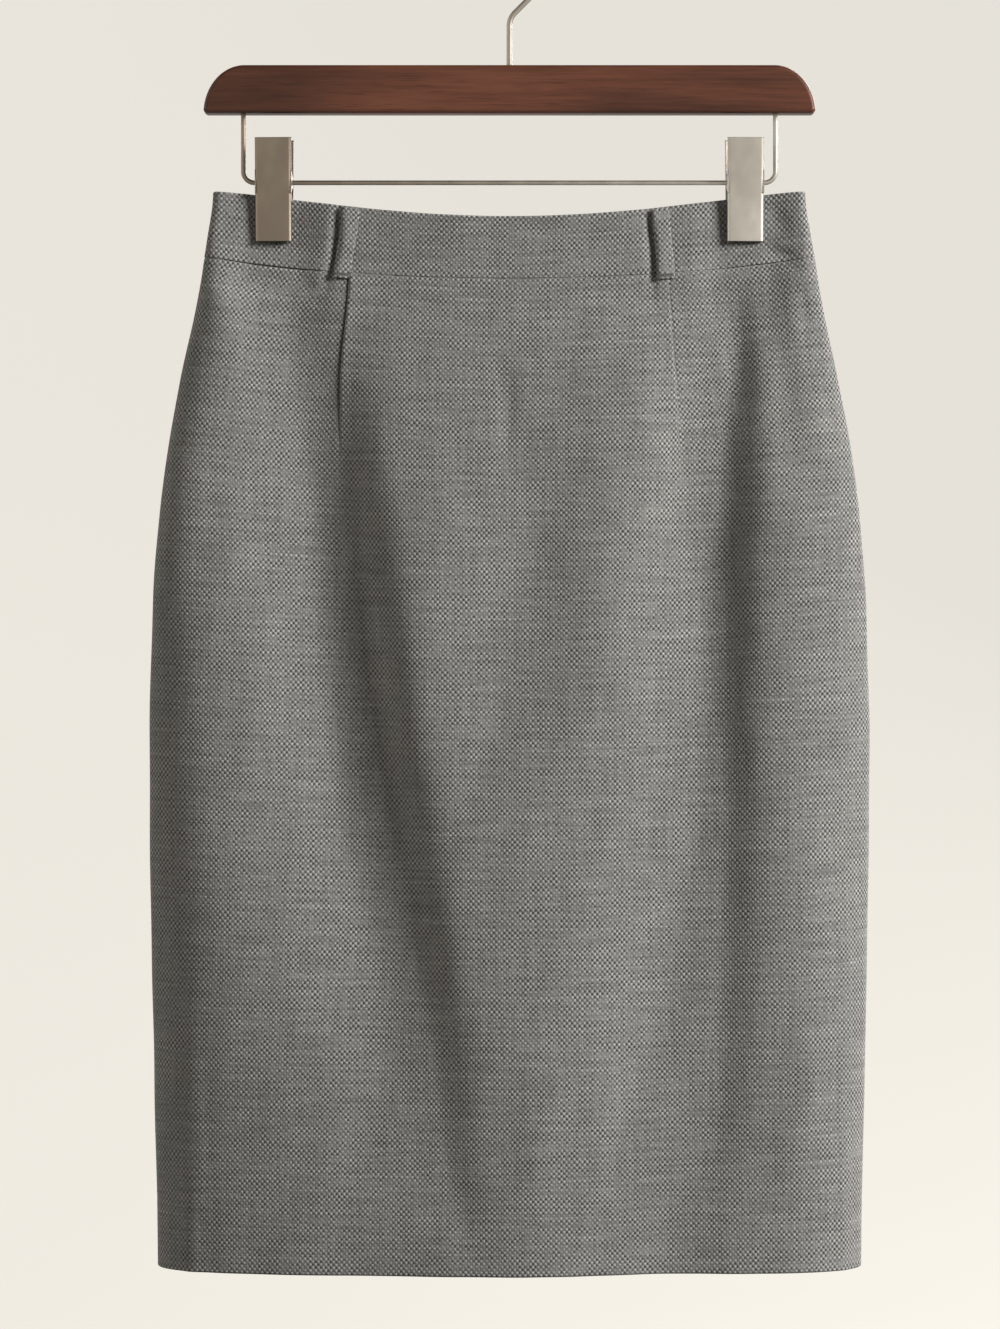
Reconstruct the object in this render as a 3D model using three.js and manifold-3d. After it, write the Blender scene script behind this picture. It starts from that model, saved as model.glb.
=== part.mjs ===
// A straight knee-length skirt hung by its waistband from a wooden clip hanger.
// Millimetres, +Z up. The front faces -Y, and left and right are the wearer's, so left is +X.
// The origin is inside the top of the hook, where a rail carries the hanger.
import * as THREE from "three";
import { mergeVertices } from "three/addons/utils/BufferGeometryUtils.js";
import Module from "manifold-3d";

const wasm = await Module();
wasm.setup();

// Clearance between pieces that touch on the real garment and hanger
const GAP = 0.3;

// Hook: one bent wire that stands in the middle of the bar
const HOOK_WIRE = 1.65; // radius
const HOOK_LOOP = 24; // radius of the loop at the middle of the wire
const HOOK_BEND = 11; // radius of the bend above the stem
const STEM_RISE = 23.3; // straight stem above the bar
const STEM_DEPTH = 18; // stem inside the bar
const HOOK_LEAN = Math.PI / 4; // slope between the stem and the loop
const HOOK_SWEEP = (250 * Math.PI) / 180;

// Wooden bar
const BAR_LENGTH = 356;
const BAR_HEIGHT = 28.2;
const BAR_DEPTH = 13;
const BAR_END = 24; // how far the rounded shoulder reaches in from each end
const BAR_EDGE = 2.4; // rounding of the long edges

// Clip rod: one wire bent into a shallow U under the bar
const ROD_WIRE = 1.4;
const ROD_HALF = 155;
const ROD_DROP = 39.8; // bar's underside to the middle of the rod
const ROD_BEND = 6.5;
const ROD_SEAT = 12;

// Clips: two spring-loaded jaws each, on the rod
const CLIP_X = 137;
const CLIP_WIDTH = 21.3;
const CLIP_HEIGHT = 60.1;
const CLIP_ABOVE_ROD = 25.5;
const CLIP_SHEET = 1;
const CLIP_RIM = 2.4;
const CLIP_CORNER = 2;
const CLIP_TILT = (3.6 * Math.PI) / 180;
const LIP_DEPTH = 5.6; // outer face of a jaw's lip from the middle of the grip
const EAR_HALF = 6.5; // half the height of the ears that ride on the rod
const EAR_PAST = 3; // how far an ear reaches past the rod
const PAD_WIDTH = 17;
const PAD_HEIGHT = 14;
const SPRING_HALF = 6.4;
const SPRING_RADIUS = 3.2;
const WIRE_SIDES = 8;

// Cloth
const CLOTH = 1.2; // one thickness of suiting
const HEM = 2.4; // the hem turned up on itself
const HEM_TURN = 40;
const BAND = 2.2; // folded and interfaced waistband
const BAND_PROUD = 0.5; // how far the band stands out from the panels
const BAND_BACK = BAND - BAND_PROUD; // inside of the band from the panels' face
const BAND_HEIGHT = 38;
const SKIRT_LENGTH = 625; // waist edge to hem at the side seam
const WAIST_BELOW_BAR = 45.2; // bar's underside to the waist edge at the side seam
const GRIP = 2; // half the thickness of the cloth between the jaws, without the band's relief
const GRIP_FLAT = 12; // half the width that a clip holds flat
const GRIP_FADE = 22; // width over which the cloth recovers beside a clip
const SIDE_STRIP = 12; // strip beside each side seam that has columns of its own
const FRONT_MIDDLE = 18; // columns between the two front folds meet here
const LEFT_TROUGH = 124; // bottom of the fold on the left

// Darts, zip and vent
const DART_DEPTH = 0.5;
const DART_HALF = 2;
const ZIP_EDGE = 0.7; // from the centre back to each edge of the zip opening
const ZIP_END = 190;
const VENT_START = 455;
const UNDERLAP = 38; // underlap of the vent behind the left panel
const UNDERLAP_PAST = 6; // and behind the right one
const CHAIN_HALF = 2.5;
const CHAIN_FROM = 15;
const CHAIN_THICK = 1.3;

// Zip slider and its pull, from the pin that joins them
const PULL_LEVEL = 8; // pin below the waist edge
const PULL_OUT = 2.7; // pin out of the face of the cloth
const SLIDER = { half: 3.4, thick: 2.4, below: 5, above: 4.5, neck: 0.4, round: 1.7 };
const PULL = { length: 17.5, round: 3.4, neck: 1.9, thick: 1.2, ear: 1.3, pin: 0.6 };

// Belt loops
const LOOP_WIDTH = 10;
const LOOP_THICK = 1.4;
const LOOP_FROM = 1;
const LOOP_TO = 42;
const LOOP_BOW = 2.6; // slack of a loop over the band

// Each row is a section of the skirt. level: distance down from the waist edge at the side seam.
// half: half its width. round: how far in from the side it starts to curve. front, back: how far
// each face stands from the side seams. sides: the share of that kept beside the side seams.
// pinch: how firmly the clips' grip is still felt. dip: how much lower the middle hangs than the
// sides. arch: how pointed that dip is.
const SECTIONS = [
  { level: 0, half: 172.5, round: 4, front: 10, back: 7, sides: 0.42, pinch: 1, dip: 15, arch: 1.55 },
  { level: 28, half: 176, round: 5, front: 10.5, back: 7.5, sides: 0.46, pinch: 1, dip: 13.6, arch: 1.1 },
  { level: 38, half: 177.6, round: 8, front: 11, back: 8, sides: 0.55, pinch: 0.75, dip: 13.2, arch: 1 },
  { level: 75, half: 184.6, round: 30, front: 15, back: 12, sides: 0.7, pinch: 0.2, dip: 12.3, arch: 1 },
  { level: 110, half: 192.2, round: 60, front: 19.5, back: 16, sides: 0.85, pinch: 0, dip: 11.5, arch: 1 },
  { level: 150, half: 199.4, round: 100, front: 25, back: 21, sides: 0.95, pinch: 0, dip: 10.6, arch: 1 },
  { level: 190, half: 204.6, round: 135, front: 30, back: 25, sides: 1, pinch: 0, dip: 9.7, arch: 1 },
  { level: 240, half: 208.2, round: 165, front: 35, back: 29, sides: 1, pinch: 0, dip: 8.6, arch: 1 },
  { level: 320, half: 210, round: 190, front: 40, back: 33, sides: 1, pinch: 0, dip: 6.8, arch: 1 },
  { level: 400, half: 209.4, round: 206, front: 44, back: 36, sides: 1, pinch: 0, dip: 5, arch: 1 },
  { level: 480, half: 208, round: 208, front: 47, back: 38, sides: 1, pinch: 0, dip: 3.2, arch: 1 },
  { level: 560, half: 206.3, round: 206.3, front: 49, back: 40, sides: 1, pinch: 0, dip: 1.5, arch: 1 },
  { level: 625, half: 205.2, round: 205.2, front: 50, back: 41, sides: 1, pinch: 0, dip: 0, arch: 1 },
];

// The largest hanging folds: troughs with a slow side towards -X and a steep side towards +X.
const FOLDS = [
  {
    face: "front", slow: 48, steep: 17,
    path: [
      { level: 45, x: -94, depth: 0 },
      { level: 104, x: -100, depth: 5 },
      { level: 209, x: -90, depth: 9.5 },
      { level: 319, x: -75, depth: 11 },
      { level: 395, x: -63, depth: 10 },
      { level: 471, x: -49, depth: 7.5 },
      { level: 552, x: -38, depth: 4 },
      { level: 625, x: -28, depth: 1.5 },
    ],
  },
  {
    face: "front", slow: 34, steep: 15,
    path: [
      { level: 38, x: 128, depth: 0 },
      { level: 75, x: 126, depth: 3.5 },
      { level: 110, x: 125, depth: 7 },
      { level: 209, x: 124, depth: 10 },
      { level: 319, x: 124, depth: 9.5 },
      { level: 395, x: 122, depth: 7.5 },
      { level: 471, x: 119, depth: 5 },
      { level: 552, x: 115, depth: 2 },
      { level: 625, x: 112, depth: 0.6 },
    ],
  },
  {
    face: "front", slow: 42, steep: 30,
    path: [
      { level: 60, x: 5, depth: 0 },
      { level: 140, x: 8, depth: 1.5 },
      { level: 260, x: 20, depth: 2.6 },
      { level: 340, x: 25, depth: 1.8 },
      { level: 430, x: 30, depth: 0 },
    ],
  },
  {
    face: "back", slow: 30, steep: 24,
    path: [
      { level: 50, x: -120, depth: 0 },
      { level: 120, x: -116, depth: 4 },
      { level: 230, x: -108, depth: 7 },
      { level: 360, x: -98, depth: 6 },
      { level: 500, x: -88, depth: 2.5 },
      { level: 625, x: -84, depth: 0.5 },
    ],
  },
  {
    face: "back", slow: 26, steep: 32,
    path: [
      { level: 50, x: 122, depth: 0 },
      { level: 130, x: 112, depth: 4.5 },
      { level: 240, x: 98, depth: 7.5 },
      { level: 380, x: 84, depth: 5.5 },
      { level: 520, x: 72, depth: 2 },
      { level: 625, x: 66, depth: 0.5 },
    ],
  },
];

// Darts. x is where each one lies, and the left front one runs out in the trough below it.
const DARTS = {
  right_front: { end: 150, path: [
    { level: 0, x: -93 }, { level: 38, x: -93 }, { level: 104, x: -98 }, { level: 150, x: -98 },
    { level: 209, x: -90 }, { level: 319, x: -75 }, { level: 395, x: -63 }, { level: 471, x: -49 },
    { level: 625, x: -30 },
  ] },
  left_front: { end: 145, path: [
    { level: 0, x: 91 }, { level: 38, x: 92 }, { level: 145, x: 98 }, { level: 625, x: 98 },
  ] },
  left_back: { end: 160, path: [
    { level: 0, x: 84 }, { level: 38, x: 84 }, { level: 160, x: 90 }, { level: 625, x: 92 },
  ] },
  right_back: { end: 160, path: [
    { level: 0, x: -84 }, { level: 38, x: -84 }, { level: 160, x: -90 }, { level: 625, x: -92 },
  ] },
};

// Belt loops: the middle of each one at its top and at its foot
const LOOPS = [
  { name: "belt_loop_front_right", face: "front", top: -92, foot: -97 },
  { name: "belt_loop_front_left", face: "front", top: 88, foot: 91 },
  { name: "belt_loop_back_left", face: "back", top: 84, foot: 84 },
  { name: "belt_loop_back_right", face: "back", top: -84, foot: -84 },
];

// Rows of points down a panel, below the band
const PANEL_LEVELS = [
  50, 62, 76, 92, 110, 130, 150, 172, 196, 222, 252, 284, 318, 354, 392, 430, 468, 508, 548,
];

const hookHeight =
  STEM_RISE + HOOK_BEND * Math.sin(HOOK_LEAN) + slopeLength() * Math.cos(HOOK_LEAN) +
  HOOK_LOOP * Math.sin(HOOK_LEAN);
const barTop = -(hookHeight + HOOK_LOOP - HOOK_WIRE);
const barBottom = barTop - BAR_HEIGHT;
const rodZ = barBottom - ROD_DROP;
const waistZ = barBottom - WAIST_BELOW_BAR;
const lipZ = rodZ + CLIP_ABOVE_ROD - CLIP_HEIGHT;
const pullPivot = surface("back", 0, PULL_LEVEL).add(new THREE.Vector3(0, GAP / 2 + PULL_OUT, 0));

// Length of the slope that puts the loop's middle straight above the stem.
function slopeLength() {
  return (HOOK_LOOP * Math.cos(HOOK_LEAN) - HOOK_BEND * (1 - Math.cos(HOOK_LEAN))) / Math.sin(HOOK_LEAN);
}

// Smooth value of one column of a table at a level, with no overshoot between rows.
function along(table, column, level) {
  const last = table.length - 1;
  if (level <= table[0].level) return table[0][column];
  if (level >= table[last].level) return table[last][column];
  const k = table.findIndex((row, i) => level <= table[i + 1].level);
  const slope = (i) =>
    i < 0 || i >= last
      ? 0
      : (table[i + 1][column] - table[i][column]) / (table[i + 1].level - table[i].level);
  const tangent = (i) => {
    const before = slope(i - 1);
    const after = slope(i);
    return before * after <= 0 ? 0 : (2 * before * after) / (before + after);
  };
  const width = table[k + 1].level - table[k].level;
  const t = (level - table[k].level) / width;
  const bend = t * t * (3 - 2 * t);
  return (
    table[k][column] * (1 - bend) + table[k + 1][column] * bend +
    width * (tangent(k) * t * (1 - t) * (1 - t) - tangent(k + 1) * t * t * (1 - t))
  );
}

function smooth(from, to, value) {
  return THREE.MathUtils.smoothstep(value, from, to);
}

function sideOf(face) {
  return face === "front" ? -1 : 1;
}

// How far the folds draw one face in at a place.
function foldDepth(face, x, level) {
  let total = 0;
  for (const fold of FOLDS) {
    if (fold.face !== face) continue;
    const away = x - along(fold.path, "x", level);
    const reach = away < 0 ? fold.slow : fold.steep;
    total += along(fold.path, "depth", level) * Math.exp(-((away / reach) ** 2));
  }
  return total;
}

// Point of the cloth's face. turn runs from -1 at the right side seam to 1 at the left one.
function surface(face, turn, level) {
  const half = along(SECTIONS, "half", level);
  const round = along(SECTIONS, "round", level);
  const x = half * Math.sin((turn * Math.PI) / 2);
  const share = Math.max(0, (Math.abs(x) - (half - round)) / round);
  const closing = Math.sqrt(Math.max(0, 1 - share * share));
  const full = along(SECTIONS, face, level);
  const sides = along(SECTIONS, "sides", level);
  const middle = (1 + Math.cos(Math.PI * Math.min(1, Math.abs(x) / CLIP_X))) / 2;
  const open = full * (sides + (1 - sides) * middle);
  const away = Math.abs(Math.abs(x) - CLIP_X);
  const held = along(SECTIONS, "pinch", level) * (1 - smooth(GRIP_FLAT, GRIP_FLAT + GRIP_FADE, away));
  const depth = closing * (open + (GRIP - open) * held - foldDepth(face, x, level));
  const dip = along(SECTIONS, "dip", level) * (1 - (x / half) ** 2) ** along(SECTIONS, "arch", level);
  return new THREE.Vector3(x, sideOf(face) * depth, waistZ - level - dip);
}

// The same point moved out of the cloth's face, or into it where out is negative. Half of the
// clearance at the side seams goes to each face.
function moved(face, turn, level, out) {
  const step = 0.002;
  const rise = 0.5;
  const across = surface(face, Math.min(1, turn + step), level).sub(
    surface(face, Math.max(-1, turn - step), level),
  );
  const down = surface(face, turn, Math.min(SKIRT_LENGTH, level + rise)).sub(
    surface(face, turn, Math.max(0, level - rise)),
  );
  const normal = across.cross(down).normalize();
  if (normal.y * sideOf(face) < 0 && Math.abs(turn) < 1) normal.negate();
  if (Math.abs(turn) === 1) normal.set(turn, 0, 0);
  const point = surface(face, turn, level).addScaledVector(normal, out);
  point.y += (sideOf(face) * GAP) / 2;
  return point;
}

// Turns of the columns at one level: each guide's place, and even steps of arc length between them.
function columnTurns(face, guides, level) {
  const half = along(SECTIONS, "half", level);
  const samples = 240;
  const turns = Array.from({ length: samples + 1 }, (_, i) => -1 + (2 * i) / samples);
  const points = turns.map((turn) => surface(face, turn, level));
  const lengths = [0];
  for (let i = 1; i <= samples; i++) lengths.push(lengths[i - 1] + points[i].distanceTo(points[i - 1]));
  const lookUp = (from, to, value) => {
    const k = Math.min(samples - 1, Math.max(0, from.findIndex((v) => v > value) - 1));
    return to[k] + ((to[k + 1] - to[k]) * (value - from[k])) / (from[k + 1] - from[k]);
  };
  const places = guides.map((guide) => {
    const x = THREE.MathUtils.clamp(guide.x(level, half), -half, half);
    const turn = (2 / Math.PI) * Math.asin(x / half);
    const end = turn < 0 ? 0 : lengths[samples];
    return { turn, length: Math.abs(turn) === 1 ? end : lookUp(turns, lengths, turn) };
  });
  const found = [places[0].turn];
  for (let g = 0; g + 1 < guides.length; g++) {
    const steps = guides[g].steps;
    for (let s = 1; s < steps; s++) {
      const length = places[g].length + ((places[g + 1].length - places[g].length) * s) / steps;
      found.push(lookUp(lengths, turns, length));
    }
    found.push(places[g + 1].turn);
  }
  return face === "front" ? found : found.reverse();
}

// Closed wall between two grids of points, rows from the top down and columns from left to right
// as seen from outside.
function wallGeometry(outer, inner) {
  const rows = outer.length;
  const columns = outer[0].length;
  const layer = rows * columns;
  const positions = [outer, inner].flat(2).flatMap((point) => point.toArray());
  const at = (i, j) => i * columns + j;
  const index = [];
  for (let i = 0; i + 1 < rows; i++) {
    for (let j = 0; j + 1 < columns; j++) {
      const [a, b, c, d] = [at(i, j), at(i + 1, j), at(i + 1, j + 1), at(i, j + 1)];
      index.push(a, b, c, a, c, d);
      index.push(layer + a, layer + c, layer + b, layer + a, layer + d, layer + c);
    }
  }
  const rim = [];
  for (let i = 0; i + 1 < rows; i++) rim.push(at(i, 0));
  for (let j = 0; j + 1 < columns; j++) rim.push(at(rows - 1, j));
  for (let i = rows - 1; i > 0; i--) rim.push(at(i, columns - 1));
  for (let j = columns - 1; j > 0; j--) rim.push(at(0, j));
  rim.forEach((from, k) => {
    const to = rim[(k + 1) % rim.length];
    index.push(to, from, layer + from, to, layer + from, layer + to);
  });
  const geometry = new THREE.BufferGeometry();
  geometry.setAttribute("position", new THREE.Float32BufferAttribute(positions, 3));
  geometry.setIndex(index);
  return geometry;
}

// A stretch of cloth on one face. outer and inner give how far each side lies out of the face.
function cloth({ face, guides, levels, outer, inner }) {
  const grid = (out) =>
    levels.map((level) => {
      const turns = columnTurns(face, guides, level);
      return turns.map((turn) => moved(face, turn, level, out(level, turn)));
    });
  return wallGeometry(grid(outer), grid(inner));
}

// How far a dart's seam draws the face in. turn is where the point is and darts are those of its panel.
function dartDraw(face, names) {
  return (level, turn) => {
    const x = along(SECTIONS, "half", level) * Math.sin((turn * Math.PI) / 2);
    let draw = 0;
    for (const name of names) {
      const dart = DARTS[name];
      if (level > dart.end || level < BAND_HEIGHT) continue;
      const away = Math.abs(x - along(dart.path, "x", level));
      draw += DART_DEPTH * Math.max(0, 1 - away / DART_HALF);
    }
    return -draw;
  };
}

const rightSide = (steps) => ({ x: (level, half) => -half, steps });
const leftSide = { x: (level, half) => half };
const rightStrip = (steps) => ({ x: (level, half) => SIDE_STRIP - half, steps });
const leftStrip = (steps) => ({ x: (level, half) => half - SIDE_STRIP, steps });
const nearDart = (name, off, steps) => ({
  x: (level) => along(DARTS[name].path, "x", level) + off,
  steps,
});
const fixed = (x, steps) => ({ x: () => x, steps });
const backEdge = (side, steps) => ({
  x: (level) => side * (level < ZIP_END ? ZIP_EDGE : GAP / 2),
  steps,
});

const FRONT_GUIDES = [
  rightSide(4), rightStrip(9), nearDart("right_front", -DART_HALF, 1), nearDart("right_front", 0, 1),
  nearDart("right_front", DART_HALF, 7), fixed(FRONT_MIDDLE, 6), nearDart("left_front", -DART_HALF, 1),
  nearDart("left_front", 0, 1), nearDart("left_front", DART_HALF, 3), fixed(LEFT_TROUGH, 6), leftStrip(4),
  leftSide,
];
const LEFT_BACK_GUIDES = [
  backEdge(1, 5), nearDart("left_back", -DART_HALF, 1), nearDart("left_back", 0, 1),
  nearDart("left_back", DART_HALF, 7), leftStrip(4), leftSide,
];
const RIGHT_BACK_GUIDES = [
  rightSide(4), rightStrip(7), nearDart("right_back", -DART_HALF, 1), nearDart("right_back", 0, 1),
  nearDart("right_back", DART_HALF, 5), backEdge(-1),
];

const clothThickness = (level) => (level >= SKIRT_LENGTH - HEM_TURN ? HEM : CLOTH);

function panel(face, guides, darts) {
  const fold = SKIRT_LENGTH - HEM_TURN;
  const hemLevels = [fold - 1, fold, fold + HEM_TURN / 2, SKIRT_LENGTH];
  const levels = [BAND_HEIGHT + GAP, ...PANEL_LEVELS, ...hemLevels];
  const inner = (level) => -clothThickness(level);
  return cloth({ face, guides, levels, outer: dartDraw(face, darts), inner });
}

function waistband(face, guides) {
  const levels = [0, 13, 27, BAND_HEIGHT];
  return cloth({ face, guides, levels, outer: () => BAND_PROUD, inner: () => BAND_PROUD - BAND });
}

function ventUnderlap() {
  const fold = SKIRT_LENGTH - HEM_TURN;
  const levels = [VENT_START, 500, 540, fold - 1, fold, fold + HEM_TURN / 2, SKIRT_LENGTH - 1];
  const outer = (level) => -clothThickness(level) - GAP;
  const inner = (level) => outer(level) - CLOTH;
  const guides = [fixed(-UNDERLAP_PAST, 4), fixed(UNDERLAP)];
  return cloth({ face: "back", guides, levels, outer, inner });
}

function beltLoop({ face, top, foot }) {
  const steps = 10;
  const rise = (LOOP_TO - LOOP_FROM) / steps;
  const levels = Array.from({ length: steps + 1 }, (_, i) => LOOP_FROM + rise * i);
  const middle = (level) => top + ((foot - top) * level) / LOOP_TO;
  const inner = (level) => {
    const t = (level - LOOP_FROM) / (LOOP_TO - LOOP_FROM);
    return BAND_PROUD + GAP + LOOP_BOW * Math.sin(Math.PI * t ** 1.3) ** 0.8;
  };
  const guides = [
    { x: (level) => middle(level) - LOOP_WIDTH / 2, steps: 3 },
    { x: (level) => middle(level) + LOOP_WIDTH / 2 },
  ];
  return cloth({ face, guides, levels, outer: (level) => inner(level) + LOOP_THICK, inner });
}

function zipChain() {
  const levels = [CHAIN_FROM, BAND_HEIGHT + 2, BAND_HEIGHT + 8, 75, 110, 150, ZIP_END];
  const guides = [fixed(-CHAIN_HALF, 2), fixed(CHAIN_HALF)];
  const outer = (level) => -(level < BAND_HEIGHT + 5 ? BAND_BACK : CLOTH) - GAP;
  return cloth({ face: "back", guides, levels, outer, inner: (level) => outer(level) - CHAIN_THICK });
}

// A closed geometry as a solid that can be joined and cut.
function solid(geometry) {
  const bare = geometry.index ? geometry.toNonIndexed() : geometry.clone();
  bare.deleteAttribute("normal");
  bare.deleteAttribute("uv");
  const merged = mergeVertices(bare, 1e-4);
  return new wasm.Manifold(
    new wasm.Mesh({
      numProp: 3,
      vertProperties: new Float32Array(merged.attributes.position.array),
      triVerts: new Uint32Array(merged.index.array),
    }),
  );
}

function geometryOf(made) {
  const mesh = made.getMesh();
  const geometry = new THREE.BufferGeometry();
  geometry.setAttribute("position", new THREE.BufferAttribute(mesh.vertProperties.slice(), 3));
  geometry.setIndex(new THREE.BufferAttribute(mesh.triVerts.slice(), 1));
  return geometry;
}

// Round bar along X, Y or Z, centred on a point.
function rod(radius, length, axis, x, y, z, sides = 16) {
  const geometry = new THREE.CylinderGeometry(radius, radius, length, sides);
  if (axis === "x") geometry.rotateZ(Math.PI / 2);
  if (axis === "z") geometry.rotateX(Math.PI / 2);
  return geometry.translate(x, y, z);
}

function block(x, y, z) {
  const [width, depth, height] = [x, y, z].map(([low, high]) => high - low);
  return new THREE.BoxGeometry(width, depth, height).translate(
    x[0] + width / 2, y[0] + depth / 2, z[0] + height / 2,
  );
}

// Path of a bent wire in the XZ plane: straight stretches and turns, each with its own steps.
class WirePath extends THREE.Curve {
  constructor(x, z, heading, moves) {
    super();
    this.stations = [{ x, z, heading }];
    let at = this.stations[0];
    for (const { length = 0, turn = 0, radius = 0, steps = 1 } of moves) {
      for (let s = 0; s < steps; s++) {
        const angle = turn / steps;
        const chord = turn ? 2 * radius * Math.sin(Math.abs(angle) / 2) : length / steps;
        const heading = at.heading + angle / 2;
        at = {
          x: at.x + chord * Math.cos(heading),
          z: at.z + chord * Math.sin(heading),
          heading: at.heading + angle,
        };
        this.stations.push(at);
      }
    }
    this.steps = this.stations.length - 1;
  }
  getPoint(t) {
    const at = this.stations[Math.round(t * this.steps)];
    return new THREE.Vector3(at.x, 0, at.z);
  }
  getPointAt(u) {
    return this.getPoint(u);
  }
  getTangentAt(u) {
    const { heading } = this.stations[Math.round(u * this.steps)];
    return new THREE.Vector3(Math.cos(heading), 0, Math.sin(heading));
  }
}

function wire(path, radius) {
  const ring = new THREE.Shape();
  for (let i = 0; i < WIRE_SIDES; i++) {
    const angle = (2 * Math.PI * (i + 0.5)) / WIRE_SIDES;
    const [x, y] = [radius * Math.cos(angle), radius * Math.sin(angle)];
    if (i) ring.lineTo(x, y);
    else ring.moveTo(x, y);
  }
  return new THREE.ExtrudeGeometry(ring, { steps: path.steps, extrudePath: path, curveSegments: 1 });
}

function hangerHook() {
  const up = Math.PI / 2;
  const path = new WirePath(0, barTop - STEM_DEPTH, up, [
    { length: STEM_DEPTH + STEM_RISE },
    { turn: -HOOK_LEAN, radius: HOOK_BEND, steps: 3 },
    { length: slopeLength() },
    { turn: HOOK_SWEEP, radius: HOOK_LOOP, steps: 24 },
  ]);
  return wire(path, HOOK_WIRE);
}

function clipRod() {
  const down = -Math.PI / 2;
  const leg = ROD_SEAT + ROD_DROP - ROD_BEND;
  const corner = { turn: Math.PI / 2, radius: ROD_BEND, steps: 5 };
  const path = new WirePath(-ROD_HALF, barBottom + ROD_SEAT, down, [
    { length: leg }, corner, { length: 2 * (ROD_HALF - ROD_BEND) }, corner, { length: leg },
  ]);
  return wire(path, ROD_WIRE);
}

function hangerBar() {
  const half = BAR_LENGTH / 2;
  const shape = new THREE.Shape();
  shape.absellipse(half - BAR_END, 0, BAR_END, BAR_HEIGHT, 0, Math.PI / 2, false, 0);
  shape.absellipse(BAR_END - half, 0, BAR_END, BAR_HEIGHT, Math.PI / 2, Math.PI, false, 0);
  const bar = new THREE.ExtrudeGeometry(shape, {
    depth: BAR_DEPTH - 2 * BAR_EDGE,
    bevelSize: BAR_EDGE,
    bevelOffset: -BAR_EDGE,
    bevelThickness: BAR_EDGE,
    bevelSegments: 3,
    curveSegments: 5,
  });
  bar.rotateX(Math.PI / 2).translate(0, BAR_DEPTH / 2 - BAR_EDGE, barBottom);
  const over = 5;
  const stem = STEM_DEPTH + GAP;
  const seat = ROD_SEAT + GAP;
  const holes = [
    rod(HOOK_WIRE + GAP, stem + over, "z", 0, 0, barTop + (over - stem) / 2),
    rod(ROD_WIRE + GAP, seat + over, "z", -ROD_HALF, 0, barBottom + (seat - over) / 2),
    rod(ROD_WIRE + GAP, seat + over, "z", ROD_HALF, 0, barBottom + (seat - over) / 2),
  ];
  return geometryOf(holes.reduce((left, hole) => left.subtract(solid(hole)), solid(bar)));
}

// Channel section of a jaw, open towards +Y: a flat web with a rounded corner and a rim each side.
function channelShape() {
  const half = CLIP_WIDTH / 2;
  const inside = half - CLIP_SHEET;
  const corner = CLIP_CORNER - CLIP_SHEET;
  const shape = new THREE.Shape();
  shape.absarc(CLIP_CORNER - half, CLIP_CORNER, CLIP_CORNER, Math.PI, 1.5 * Math.PI, false);
  shape.absarc(half - CLIP_CORNER, CLIP_CORNER, CLIP_CORNER, -Math.PI / 2, 0, false);
  shape.lineTo(half, CLIP_RIM);
  shape.lineTo(inside, CLIP_RIM);
  shape.absarc(half - CLIP_CORNER, CLIP_CORNER, corner, 0, -Math.PI / 2, true);
  shape.absarc(CLIP_CORNER - half, CLIP_CORNER, corner, 1.5 * Math.PI, Math.PI, true);
  shape.lineTo(-inside, CLIP_RIM);
  shape.lineTo(-half, CLIP_RIM);
  return shape;
}

// Outer face of the front jaw at a height, as its distance in front of the rod.
const jawFace = (z) => LIP_DEPTH + (z - lipZ) * Math.tan(CLIP_TILT);

// Front jaw at the middle of the rod. earX is the outer face of each ear.
function jaw(earX) {
  const channel = new THREE.ExtrudeGeometry(channelShape(), {
    depth: CLIP_HEIGHT, bevelEnabled: false, curveSegments: 3,
  });
  channel.rotateX(CLIP_TILT).translate(0, -LIP_DEPTH, lipZ);
  const root = -jawFace(rodZ) + CLIP_SHEET / 2;
  const ear = new THREE.Shape();
  ear.absarc(0, 0, EAR_PAST, -Math.PI / 2, Math.PI / 2, false);
  ear.lineTo(root, EAR_HALF);
  ear.lineTo(root, -EAR_HALF);
  const ears = [earX, CLIP_SHEET - earX].map((x) =>
    new THREE.ExtrudeGeometry(ear, { depth: CLIP_SHEET, bevelEnabled: false, curveSegments: 5 })
      .rotateX(Math.PI / 2)
      .rotateZ(Math.PI / 2)
      .translate(x - CLIP_SHEET, 0, rodZ),
  );
  const joined = ears.reduce((left, piece) => left.add(solid(piece)), solid(channel));
  return joined.subtract(solid(rod(ROD_WIRE + GAP, CLIP_WIDTH + 2, "x", 0, 0, rodZ)));
}

// Rubber pad behind the front jaw's lip.
function pad() {
  const inside = (z) => -(jawFace(z) - CLIP_SHEET / Math.cos(CLIP_TILT) - GAP);
  const cloth = -(GRIP + BAND_PROUD + GAP + GAP / 2);
  const [low, high] = [lipZ + 0.5, lipZ + PAD_HEIGHT];
  const profile = new THREE.Shape();
  profile.moveTo(inside(low), low);
  profile.lineTo(cloth, low);
  profile.lineTo(cloth, high);
  profile.lineTo(inside(high), high);
  const geometry = new THREE.ExtrudeGeometry(profile, { depth: PAD_WIDTH, bevelEnabled: false });
  return geometry.rotateX(Math.PI / 2).rotateZ(Math.PI / 2).translate(-PAD_WIDTH / 2, 0, 0);
}

function spring() {
  const bore = ROD_WIRE + GAP;
  const profile = [
    [bore, -SPRING_HALF],
    [SPRING_RADIUS, -SPRING_HALF],
    [SPRING_RADIUS, SPRING_HALF],
    [bore, SPRING_HALF],
    [bore, -SPRING_HALF],
  ].map(([x, y]) => new THREE.Vector2(x, y));
  return new THREE.LatheGeometry(profile, 14).rotateZ(Math.PI / 2).translate(0, 0, rodZ);
}

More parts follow.
